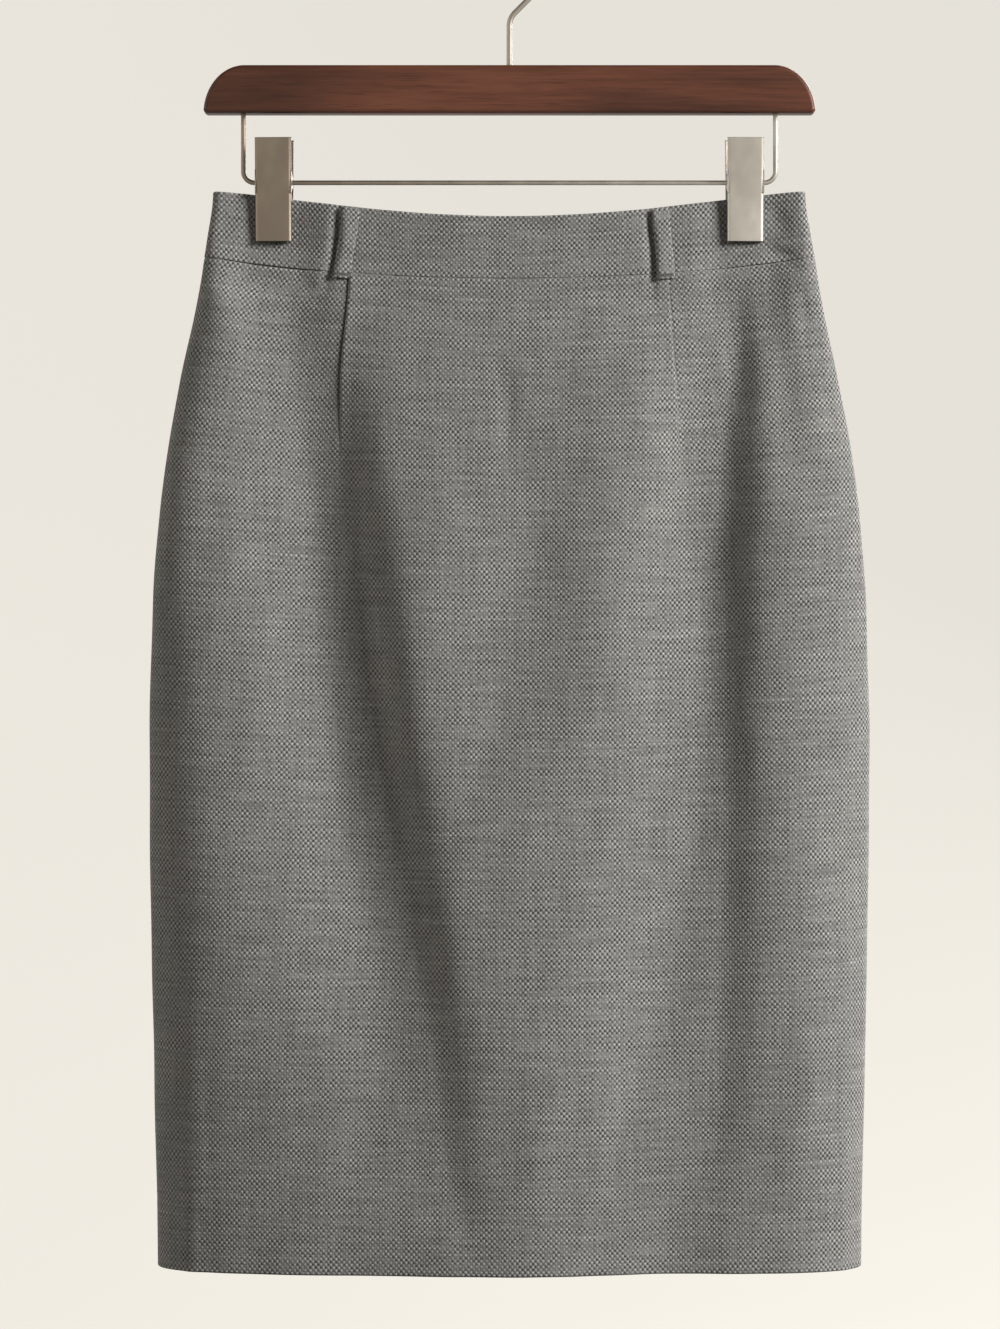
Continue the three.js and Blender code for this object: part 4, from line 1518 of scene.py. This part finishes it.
def bent_wire(
    start: tuple[float, float],
    heading: float,
    moves: Sequence[tuple[float, float, int]],
    radius: float,
    sides: int = 20,
) -> Solid:
    """Makes a wire bent in the XZ plane, with rounded ends.

    Args:
        start: Its first point.
        heading: Its first direction in degrees from +X.
        moves: Rows of length along the wire, degrees turned, and steps.
        radius: Radius of the wire.
        sides: Sides of its section.

    Returns:
        The points and the faces.
    """
    x, z, angle = start[0], start[1], math.radians(heading)
    stations = [(x, z, angle)]
    for length, turn, steps in moves:
        step, bend = length / steps, math.radians(turn) / steps
        chord = step if bend == 0 else step * math.sin(bend / 2) / (bend / 2)
        for _ in range(steps):
            x += chord * math.cos(angle + bend / 2)
            z += chord * math.sin(angle + bend / 2)
            angle += bend
            stations.append((x, z, angle))
    around = np.linspace(0, 2 * math.pi, sides, endpoint=False)
    cap = np.radians([80, 50, 20])
    ends = [(-math.sin(a) * radius * 0.6, math.cos(a) * radius) for a in cap]
    rings = []
    for index, (x, z, angle) in enumerate(stations):
        first, last = index == 0, index == len(stations) - 1
        slices = ends + [(0.0, radius)] if first else [(0.0, radius)]
        slices += [(-shift, own) for shift, own in ends[::-1]] if last else []
        for shift, own in slices:
            centre = np.array([x + shift * math.cos(angle), 0.0, z + shift * math.sin(angle)])
            side = np.array([-math.sin(angle), 0.0, math.cos(angle)])
            rings.append(
                centre + own * (np.cos(around)[:, None] * side + np.sin(around)[:, None] * [0.0, 1.0, 0.0])
            )
    return tube(np.array(rings))


# The hanger


@dataclass
class Hanger:
    """The wooden bar, its hook, the wire rod and what rides on it. Sizes are those of the solids."""

    finishes: Finishes
    hook_wire: float = 1.65
    hook_loop: float = 24.0
    hook_bend: float = 11.0
    stem_rise: float = 23.3
    stem_depth: float = 18.0
    lean: float = 45.0
    sweep: float = 250.0
    bar_length: float = 356.0
    bar_height: float = 28.2
    bar_depth: float = 13.0
    bar_end: float = 24.0
    bar_edge: float = 2.4
    rod_wire: float = 1.4
    rod_half: float = 155.0
    rod_drop: float = 39.8
    rod_bend: float = 6.5
    rod_seat: float = 12.0
    waist_below_bar: float = 45.2

    @property
    def slope(self) -> float:
        """Gives the straight slope that puts the loop's middle above the stem."""
        lean = math.radians(self.lean)
        return (self.hook_loop * math.cos(lean) - self.hook_bend * (1 - math.cos(lean))) / math.sin(lean)

    @property
    def bar_top(self) -> float:
        """Gives the height of the bar's top, below the origin inside the hook."""
        lean = math.radians(self.lean)
        rise = self.stem_rise + self.hook_bend * math.sin(lean) + self.slope * math.cos(lean)
        return -(rise + self.hook_loop * math.sin(lean) + self.hook_loop - self.hook_wire)

    @property
    def bar_bottom(self) -> float:
        """Gives the height of the bar's underside."""
        return self.bar_top - self.bar_height

    @property
    def rod_z(self) -> float:
        """Gives the height of the rod."""
        return self.bar_bottom - self.rod_drop

    @property
    def waist_z(self) -> float:
        """Gives the height of the waist edge at the side seams."""
        return self.bar_bottom - self.waist_below_bar

    def bar(self) -> None:
        """Makes the bar, with quarter-round shoulders and eased edges."""
        half, corner, base = self.bar_length / 2, self.bar_edge + 0.3, self.bar_bottom
        shoulder = half - self.bar_end
        first = math.degrees(math.asin(corner / self.bar_height))
        radii = (self.bar_end, self.bar_height)
        outline = np.concatenate([
            arc((half - corner, base + corner), (corner, corner), -90, -6, 5),
            arc((shoulder, base), radii, first, 88, 18),
            arc((-shoulder, base), radii, 92, 180 - first, 18),
            arc((corner - half, base + corner), (corner, corner), 186, 270, 5),
        ])
        points, faces = slab(outline, self.bar_depth, self.bar_edge, 5)
        place(build_mesh("bar", points, faces, self.finishes.wood, None, 50), Slot.WOOD, "hanger_bar")

    def hook(self) -> None:
        """Makes the hook from one bent wire."""
        lean, sweep = math.radians(self.lean), math.radians(self.sweep)
        moves = [
            (self.stem_depth + self.stem_rise, 0, 6),
            (self.hook_bend * lean, -self.lean, 10),
            (self.slope, 0, 4),
            (self.hook_loop * sweep, self.sweep, 80),
        ]
        points, faces = bent_wire((0, self.bar_top - self.stem_depth), 90, moves, self.hook_wire)
        place(build_mesh("hook", points, faces, self.finishes.nickel), Slot.NICKEL, "hanger_hook")

    def rod(self) -> None:
        """Makes the rod, bent up into the bar at both ends."""
        leg = self.rod_seat + self.rod_drop - self.rod_bend
        corner = (self.rod_bend * math.pi / 2, 90, 10)
        moves = [(leg, 0, 6), corner, (2 * (self.rod_half - self.rod_bend), 0, 30), corner, (leg, 0, 6)]
        start = (-self.rod_half, self.bar_bottom + self.rod_seat)
        points, faces = bent_wire(start, -90, moves, self.rod_wire, 16)
        place(build_mesh("rod", points, faces, self.finishes.nickel), Slot.NICKEL, "clip_rod")


@dataclass
class Clip:
    """One clip: two channel-shaped jaws with ears on the rod, a spring and two pads.

    It has swung round on the rod by a few degrees, towards +X where that is above 0.
    """

    side: str
    x: float
    swing: float
    rod_z: float
    finishes: Finishes
    width: float = 21.3
    height: float = 60.1
    above_rod: float = 25.5
    sheet: float = 1.0
    rim: float = 2.4
    corner: float = 2.0
    tilt: float = 3.6
    lip_depth: float = 5.6
    ear_half: float = 6.5
    ear_past: float = 3.0
    pad_width: float = 17.0
    pad_height: float = 14.0
    pad_face: float = 2.95
    spring_half: float = 6.4
    spring_radius: float = 3.2

    @property
    def lip_z(self) -> float:
        """Gives the height of the jaws' lips."""
        return self.rod_z + self.above_rod - self.height

    def jaw_face(self, z: float) -> float:
        """Gives how far a jaw's outer face stands from the rod at a height."""
        return self.lip_depth + (z - self.lip_z) * math.tan(math.radians(self.tilt))

    def channel(self) -> Solid:
        """Makes the folded sheet of a jaw.

        Returns:
            The points and the faces.
        """
        half, inner = self.width / 2, self.corner - self.sheet
        centre = half - self.corner
        outer_radii, inner_radii = (self.corner, self.corner), (inner, inner)
        section = np.concatenate([
            arc((-centre, self.corner), outer_radii, 180, 270, 6),
            arc((centre, self.corner), outer_radii, 270, 360, 6),
            [[half, self.rim], [half - self.sheet, self.rim]],
            arc((centre, self.corner), inner_radii, 0, -90, 5),
            arc((-centre, self.corner), inner_radii, 270, 180, 5),
            [[self.sheet - half, self.rim], [-half, self.rim]],
        ])
        tilt = math.radians(self.tilt)
        rings = []
        for rise in (0.0, self.height):
            y = section[:, 1] * math.cos(tilt) - rise * math.sin(tilt) - self.lip_depth
            z = section[:, 1] * math.sin(tilt) + rise * math.cos(tilt) + self.lip_z
            rings.append(np.stack([section[:, 0], y, z], 1))
        return tube(np.array(rings))

    def jaw(self, name: str, ear_x: float, turned: bool) -> None:
        """Makes a jaw.

        Args:
            name: Its name, which is its node's with another ending.
            ear_x: Outer face of its ears from the middle.
            turned: Whether it is the back jaw.
        """
        root = self.sheet / 2 - self.jaw_face(self.rod_z)
        ear = np.concatenate([
            [[root, -self.ear_half]],
            arc((0, 0), (self.ear_past, self.ear_past), -90, 90, 14),
            [[root, self.ear_half]],
        ]) + [0, self.rod_z]
        ears = [prism(ear, side * ear_x - self.sheet * (side > 0), side * ear_x + self.sheet * (side < 0))
                for side in (-1, 1)]
        self.finish(name, join([self.channel(), *ears]), turned, 0.3, self.finishes.nickel, Slot.NICKEL)

    def pad(self, name: str, turned: bool) -> None:
        """Makes a pad, which lines the lip of its jaw.

        Args:
            name: Its name.
            turned: Whether it is on the back jaw.
        """
        low, high = self.lip_z + 0.5, self.lip_z + self.pad_height
        inside = self.sheet / math.cos(math.radians(self.tilt)) + GAP
        faces_y = [inside - self.jaw_face(z) for z in (low, high)]
        outline = np.array([
            [faces_y[0], low], [-self.pad_face, low], [-self.pad_face, high], [faces_y[1], high],
        ])
        solid = prism(outline, -self.pad_width / 2, self.pad_width / 2)
        self.finish(name, solid, turned, 0.5, self.finishes.rubber, Slot.PAD)

    def finish(
        self, name: str, solid: Solid, turned: bool, width: float, material: bpy.types.Material, slot: Slot
    ) -> None:
        """Turns a part of a jaw to its side of the cloth, moves it to its clip and rounds its edges.

        Args:
            name: Its node's name.
            solid: Its points and faces, as on the front jaw of a clip in the middle.
            turned: Whether it is on the back.
            width: Width of the rounding.
            material: Its material.
            slot: Its slot.
        """
        points, faces = solid
        spun = points * ([-1, -1, 1] if turned else [1, 1, 1])
        cos, sin = math.cos(math.radians(self.swing)), math.sin(math.radians(self.swing))
        spun = spun @ [[cos, sin, 0], [-sin, cos, 0], [0, 0, 1]] + [self.x, 0, 0]
        piece = build_mesh(name.replace("clip_", "") + "_piece", spun, faces, material)
        place(soften(piece, width), slot, name)

    def build(self) -> None:
        """Makes the whole clip."""
        half = self.width / 2
        prefix = f"clip_{self.side}_"
        self.jaw(prefix + "front_jaw", half, False)
        self.jaw(prefix + "back_jaw", half - self.sheet - GAP, True)
        self.pad(prefix + "front_pad", False)
        self.pad(prefix + "back_pad", True)
        tree = wound_spring(
            self.x, self.rod_z, self.spring_half, self.spring_radius, 0.62, 9.0, self.finishes.nickel
        )
        place(tree.run(f"spring_{self.side}", []), Slot.NICKEL, prefix + "spring")


# The skirt


@dataclass
class Skirt:
    """Every piece of the garment, on one drape."""

    finishes: Finishes
    drape: Drape
    relief: Relief
    nodes: Mapping[str, bpy.types.Object]
    cloth: float = 1.2
    hem: float = 2.4
    band: float = 2.2
    proud: float = 0.5
    seam_gap: float = 0.06
    side_strip: float = 12.0
    dart_strip: float = 7.0
    zip_edge: float = 0.7
    zip_from: float = 15.0
    zip_end: float = 190.0
    vent_start: float = 455.0
    underlap: float = 38.0
    underlap_past: float = 6.0
    tape_half: float = 12.0
    loop_width: float = 10.0
    loop_thick: float = 1.4
    loop_levels: tuple[float, float] = (1.0, 42.0)
    loop_bow: float = 0.55
    loop_sunk: float = 1.4

    def front_guides(self) -> list[Guide]:
        """Gives the guides of the front's columns, from the right side seam to the left one."""
        right, left, near = RIGHT_FRONT_DART, LEFT_FRONT_DART, self.dart_strip
        return [
            *self.right_seam(),
            (lambda level, half: right.x(level) - near, 28),
            (lambda level, half: right.x(level) + near, 36),
            (lambda level, half: 18.0, 24),
            (lambda level, half: left.x(level) - near, 28),
            (lambda level, half: left.x(level) + near, 9),
            (lambda level, half: 124.0, 22),
            *self.left_seam(),
        ]

    def back_guides(self, side: int) -> list[Guide]:
        """Gives the guides of one half of the back.

        Args:
            side: 1 for the left half and -1 for the right one.

        Returns:
            The guides, from right to left.
        """
        near = self.dart_strip
        if side > 0:
            dart = LEFT_BACK_DART
            return [
                (lambda level, half: self.centre(level), 3),
                (lambda level, half: self.centre(level) + EDGE, 28),
                (lambda level, half: dart.x(level) - near, 14),
                (lambda level, half: dart.x(level) + near, 34),
                *self.left_seam(),
            ]
        dart = RIGHT_BACK_DART
        return [
            *self.right_seam(),
            (lambda level, half: dart.x(level) - near, 14),
            (lambda level, half: dart.x(level) + near, 28),
            (lambda level, half: -self.centre(level) - EDGE, 3),
            (lambda level, half: -self.centre(level), 0),
        ]

    def right_seam(self) -> list[Guide]:
        """Gives the guides beside the right side seam."""
        return [
            (lambda level, half: -half, 3),
            (lambda level, half: EDGE - half, 6),
            (lambda level, half: self.side_strip - half, 30),
        ]

    def left_seam(self) -> list[Guide]:
        """Gives the guides beside the left side seam."""
        return [
            (lambda level, half: half - self.side_strip, 6),
            (lambda level, half: half - EDGE, 3),
            (lambda level, half: half, 0),
        ]

    def centre(self, level: float) -> float:
        """Gives how far a back edge lies from the centre: open over the zip, and butted below it."""
        return self.zip_edge + (GAP / 2 - self.zip_edge) * float(ease((level - self.zip_end + 5) / 5))

    def thickness(self, level: np.ndarray) -> np.ndarray:
        """Gives the thickness of the cloth, doubled where the hem is turned up."""
        return np.where(level >= SKIRT_LENGTH - HEM_TURN, self.hem, self.cloth)

    def sheet(self, layer: Layer, rests_on: Sequence[str], *nodes: str, extra_length: float = 0.0) -> None:
        """Builds and places one piece of cloth, and logs its cut size.

        Args:
            layer: The piece.
            rests_on: Not used.
            nodes: The nodes that it replaces.
            extra_length: Cloth that is turned under, beyond the length that shows.
        """
        piece = place(layer.build(self.drape, self.relief, self.finishes.suiting), Slot.SUITING, *nodes)
        width, length = layer.flat[0] * MM, (layer.flat[1] + extra_length) * MM
        LOG.info("%s is cut %.0f by %.0f mm", layer.name, width / MM, length / MM)

    def panels(self) -> None:
        """Makes the front and the two halves of the back."""
        stretches = [
            (BAND_HEIGHT + self.seam_gap, 14), (52, 58), (180, 116), (573, 4), (584.7, 1), (585, 16),
            (SKIRT_LENGTH, 0),
        ]
        front, left, right = self.front_guides(), self.back_guides(1), self.back_guides(-1)
        rows = [
            ("front", Face.FRONT, front, (RIGHT_FRONT_DART, LEFT_FRONT_DART), "front_panel", None),
            ("back_left", Face.BACK, left, (LEFT_BACK_DART,), "back_panel_left", self.vent_lift),
            ("back_right", Face.BACK, right, (RIGHT_BACK_DART,), "back_panel_right", None),
        ]
        for name, face, guides, darts, node, extra in rows:
            layer = Layer(
                name, face, guides, stretches, everywhere(0), self.thickness, darts, extra, ends=(0.2, 1.0)
            )
            self.sheet(layer, ["waistband_" + name], node, extra_length=HEM_TURN)

    def vent_lift(self, x: np.ndarray, level: np.ndarray) -> np.ndarray:
        """Gives how far the vent's upper edge springs off the underlap.

        Args:
            x: Places across.
            level: Places down.

        Returns:
            The lifts in millimetres.
        """
        return 1.1 * ease((level - self.vent_start) / 90) * bell(x, 16)

    def waistbands(self) -> None:
        """Makes the three pieces of the waistband."""
        stretches = [(0, 24), (BAND_HEIGHT, 0)]
        rows = [
            ("front", Face.FRONT, self.front_guides(), "clip_left_front_pad"),
            ("back_left", Face.BACK, self.back_guides(1), "clip_left_back_pad"),
            ("back_right", Face.BACK, self.back_guides(-1), "clip_right_back_pad"),
        ]
        for name, face, guides, pad in rows:
            layer = Layer(
                "band_" + name, face, guides, stretches, everywhere(self.proud), everywhere(self.band),
                weave_shift=(1.1, 0.7), ends=(1.0, 0.15),
            )
            self.sheet(layer, [pad], "waistband_" + name)

    def vent(self) -> None:
        """Makes the underlap of the vent."""
        guides = strip(lambda _: -self.underlap_past, lambda _: self.underlap, 16)
        stretches = [(self.vent_start, 42), (584.7, 1), (585, 14), (SKIRT_LENGTH - 1, 0)]
        layer = Layer(
            "underlap", Face.BACK, guides, stretches, lambda level: -self.thickness(level) - GAP,
            everywhere(self.cloth), weave_shift=(0.8, 0.4),
        )
        self.sheet(layer, ["back_panel_right"], "vent_underlap")

    def loop_bulge(self, away: np.ndarray, level: np.ndarray) -> np.ndarray:
        """Gives how far a belt loop bulges out, which is most at its edge towards -X.

        Args:
            away: Places across from the loop's middle.
            level: Places down.

        Returns:
            The heights in millimetres.
        """
        top, foot = self.loop_levels
        t = np.clip((level - top) / (foot - top), 0, 1)
        across = np.clip(0.5 - away / self.loop_width, 0, 1)
        return self.loop_bow * across * np.sin(math.pi * t**1.6) ** 0.8 - self.loop_sunk * (1 - across) ** 1.2

    def loops(self) -> None:
        """Makes the four belt loops and the bar tacks at their feet."""
        rows = [
            ("front_right", Face.FRONT, -92.0, -97.0, "front"),
            ("front_left", Face.FRONT, 88.0, 91.0, "front"),
            ("back_left", Face.BACK, 84.0, 84.0, "back_left"),
            ("back_right", Face.BACK, -84.0, -84.0, "back_right"),
        ]
        half = self.loop_width / 2
        top, foot = self.loop_levels
        tacks = []
        outer = self.proud + GAP + self.loop_thick
        for name, face, high, low, band in rows:
            middle = Track((0.0, foot), (high, low))
            guides = strip(
                lambda level, m=middle: float(m.at(level)) - half,
                lambda level, m=middle: float(m.at(level)) + half, 8,
            )
            layer = Layer(
                "loop_" + name, face, guides, [(top, 36), (foot, 0)],
                everywhere(outer), everywhere(self.loop_thick),
                extra=lambda x, level, m=middle: self.loop_bulge(x - m.at(level), level),
                weave_shift=(0.3, 1.5),
            )
            piece = layer.build(self.drape, self.relief, self.finishes.suiting)
            place(piece, Slot.SUITING, "belt_loop_" + name)
            flat = (self.loop_width * MM, (foot - top + 1.5) * MM)
            level = foot - 2.2
            away = np.linspace(1.0 - half, half - 1.0, 9)
            bulge = self.loop_bulge(away, np.full_like(away, level))
            tacks.append(self.on_cloth(face, away + float(middle.at(level)), level, outer + bulge))
        tree = stitch_row("bar_tack", 2.0, 0.42, 84, 0.15, self.finishes.thread)
        place(tree.run("bar_tacks", tacks), Slot.SUITING)

    def on_cloth(self, face: Face, x: np.ndarray, level: float, out: np.ndarray | float) -> np.ndarray:
        """Gives a path across the cloth.

        Args:
            face: Which face.
            x: Places across.
            level: Its level.
            out: How far out of the cloth.

        Returns:
            The points in millimetres.
        """
        levels = np.full_like(x, level)
        half = self.drape.value("half", levels)
        turn = 2 / math.pi * np.arcsin(np.clip(x / half, -1, 1))
        lift = self.relief.height(face, x, levels, half, ())
        return self.drape.moved(face, turn, levels, out + lift)

    def hem_stitches(self) -> None:
        """Makes the blind stitches that hold the turned-up hem inside."""
        level = SKIRT_LENGTH - HEM_TURN + 1.2
        reach = float(self.drape.value("half", np.array(level))) - 6
        out = -self.hem - 0.05
        paths = [
            self.on_cloth(Face.FRONT, np.linspace(-reach, reach, 140), level, out),
            self.on_cloth(Face.BACK, np.linspace(self.underlap + 4, reach, 70), level, out),
            self.on_cloth(Face.BACK, np.linspace(-reach, -self.underlap_past - 4, 80), level, out),
        ]
        tree = stitch_row("blind_stitch", 3.2, 7.0, 42, 0.16, self.finishes.thread)
        place(tree.run("hem_stitches", paths), Slot.SUITING)

    def zip(self) -> None:
        """Makes the zip's tape and coils, and finishes its slider and pull."""
        inside = self.band - self.proud

        def behind(level: np.ndarray) -> np.ndarray:
            return -inside - GAP + (inside - self.cloth) * ease((level - BAND_HEIGHT - 3) / 8)

        guides = strip(lambda _: -self.tape_half, lambda _: self.tape_half, 10, 0.4, 2)
        coil_depth, tape_thick = 0.84, 0.45
        layer = Layer(
            "zip_tape", Face.BACK, guides, [(self.zip_from, 40), (self.zip_end, 0)],
            lambda level: behind(level) - coil_depth, everywhere(tape_thick), edge=0.3,
        )
        tape = place(layer.build(self.drape, self.relief, self.finishes.tape), Slot.COIL, "zip_chain")
        2 * self.tape_half * MM
        (self.zip_end - self.zip_from) * MM
        levels = np.linspace(self.zip_from + 1, self.zip_end - 1, 120)
        zero = np.zeros_like(levels)
        lift = self.relief.height(Face.BACK, zero, levels, self.drape.value("half", levels), ())
        path = self.drape.moved(Face.BACK, zero, levels, behind(levels) - coil_depth / 2 + lift)
        tree = coil_rows(1.15, 1.15, coil_depth / 2 - 0.2, 0.2, self.finishes.coil)
        place(tree.run("zip_coils", [path]), Slot.COIL)
        slider = rounded_copy("slider", self.nodes["zip_slider"], self.finishes.nickel, 0.25)
        place(slider, Slot.NICKEL, "zip_slider")
        pull = rounded_copy("pull", self.nodes["zip_pull"], self.finishes.nickel, 0.2)
        place(pull, Slot.NICKEL, "zip_pull", body=PULL)

    def build(self) -> None:
        """Makes the whole garment."""
        self.panels()
        self.waistbands()
        self.vent()
        self.loops()
        self.hem_stitches()
        self.zip()


# The studio


@dataclass
class Studio:
    """Camera, soft lights and a pale bowl of paper. Sizes are in metres."""

    middle: Color = (0.0, 0.0, -0.43)
    camera_at: Color = (-0.0055, -2.2, -0.4328)
    frame_height: float = 0.7744
    sensor: float = 36.0
    floor: float = -1.6
    floor_reach: float = 4.2
    sweep: float = 1.8
    wall: float = 4.5
    light_distance: float = 5.2
    world_color: Color = (1.0, 0.96, 0.9)
    world_strength: float = 0.03

    def camera(self) -> None:
        """Makes the camera, level and square to the front."""
        data = bpy.data.cameras.new("camera")
        data.sensor_fit = "VERTICAL"
        data.sensor_height = self.sensor
        data.lens = self.sensor * -self.camera_at[1] / self.frame_height
        camera = add_object("camera", data)
        camera.location = self.camera_at
        camera.rotation_euler = (math.pi / 2, 0, 0)
        bpy.context.scene.camera = camera

    def light(
        self, name: str, azimuth: float, elevation: float, size: float, power: float,
        color: Color = (1.0, 0.98, 0.95),
    ) -> None:
        """Makes one soft light that points at the middle of the object.

        Args:
            name: Its name.
            azimuth: Degrees round from the front, towards +X.
            elevation: Degrees above the middle.
            size: Its width.
            power: Its power in watts.
            color: Its colour.
        """
        data = bpy.data.lights.new(name, "AREA")
        data.shape = "SQUARE"
        data.size = size
        data.energy = power
        data.color = color
        light = add_object(name, data)
        turn, rise = math.radians(azimuth), math.radians(elevation)
        away = Vector((math.sin(turn) * math.cos(rise), -math.cos(turn) * math.cos(rise), math.sin(rise)))
        light.location = Vector(self.middle) + away * self.light_distance
        light.rotation_euler = (-away).to_track_quat("-Z", "Y").to_euler()

    def bowl(self) -> None:
        """Makes the floor, which sweeps up into a round wall behind every view."""
        curve = arc((self.floor_reach, self.floor + self.sweep), (self.sweep, self.sweep), -90, 0, 16)
        wall = [[self.floor_reach + self.sweep, self.floor + self.sweep + self.wall]]
        profile = np.concatenate([[[0.5, self.floor]], curve, wall])
        around = np.linspace(0, 2 * math.pi, 96, endpoint=False)
        rings = np.stack([
            profile[:, :1] * np.cos(around), profile[:, :1] * np.sin(around),
            np.repeat(profile[:, 1:], len(around), 1),
        ], -1)
        faces = band_faces(len(profile), len(around), closed=True)
        faces.append(tuple(range(len(around)))[::-1])
        mesh = bpy.data.meshes.new("floor")
        mesh.from_pydata(rings.reshape(-1, 3).tolist(), [], faces)
        shade_smooth(mesh)
        mesh.materials.append(Backdrop().material())
        floor = add_object("floor", mesh)
        floor.visible_diffuse = False

    def build(self) -> None:
        """Makes the studio."""
        self.camera()
        self.bowl()
        world = bpy.data.worlds.new("studio")
        world.use_nodes = True
        background = world.node_tree.nodes["Background"]
        background.inputs[0].default_value = (*self.world_color, 1.0)
        background.inputs[1].default_value = self.world_strength
        bpy.context.scene.world = world
        self.light("key", 64, 22, 1.5, 362)
        self.light("fill", -75, 22, 2.6, 74, (1.0, 0.94, 0.85))
        self.light("rear", 150, 22, 2.6, 260)
        bpy.context.scene.view_settings.view_transform = "Standard"


def main() -> None:
    """Builds the dressed skirt on its hanger."""
    logging.basicConfig(level=logging.INFO, format="%(message)s")
    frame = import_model()
    Studio().build()
    finishes = Finishes()
    hanger = Hanger(finishes)
    hanger.bar()
    hanger.hook()
    hanger.rod()
    for side, sign in (("right", -1), ("left", 1)):
        Clip(side, sign * CLIP_X, sign * SWING, hanger.rod_z, finishes).build()
    drape = Drape(waist_z=hanger.waist_z)
    Skirt(finishes, drape, Relief(), frame["nodes"]).build()


if __name__ == "__main__":
    main()
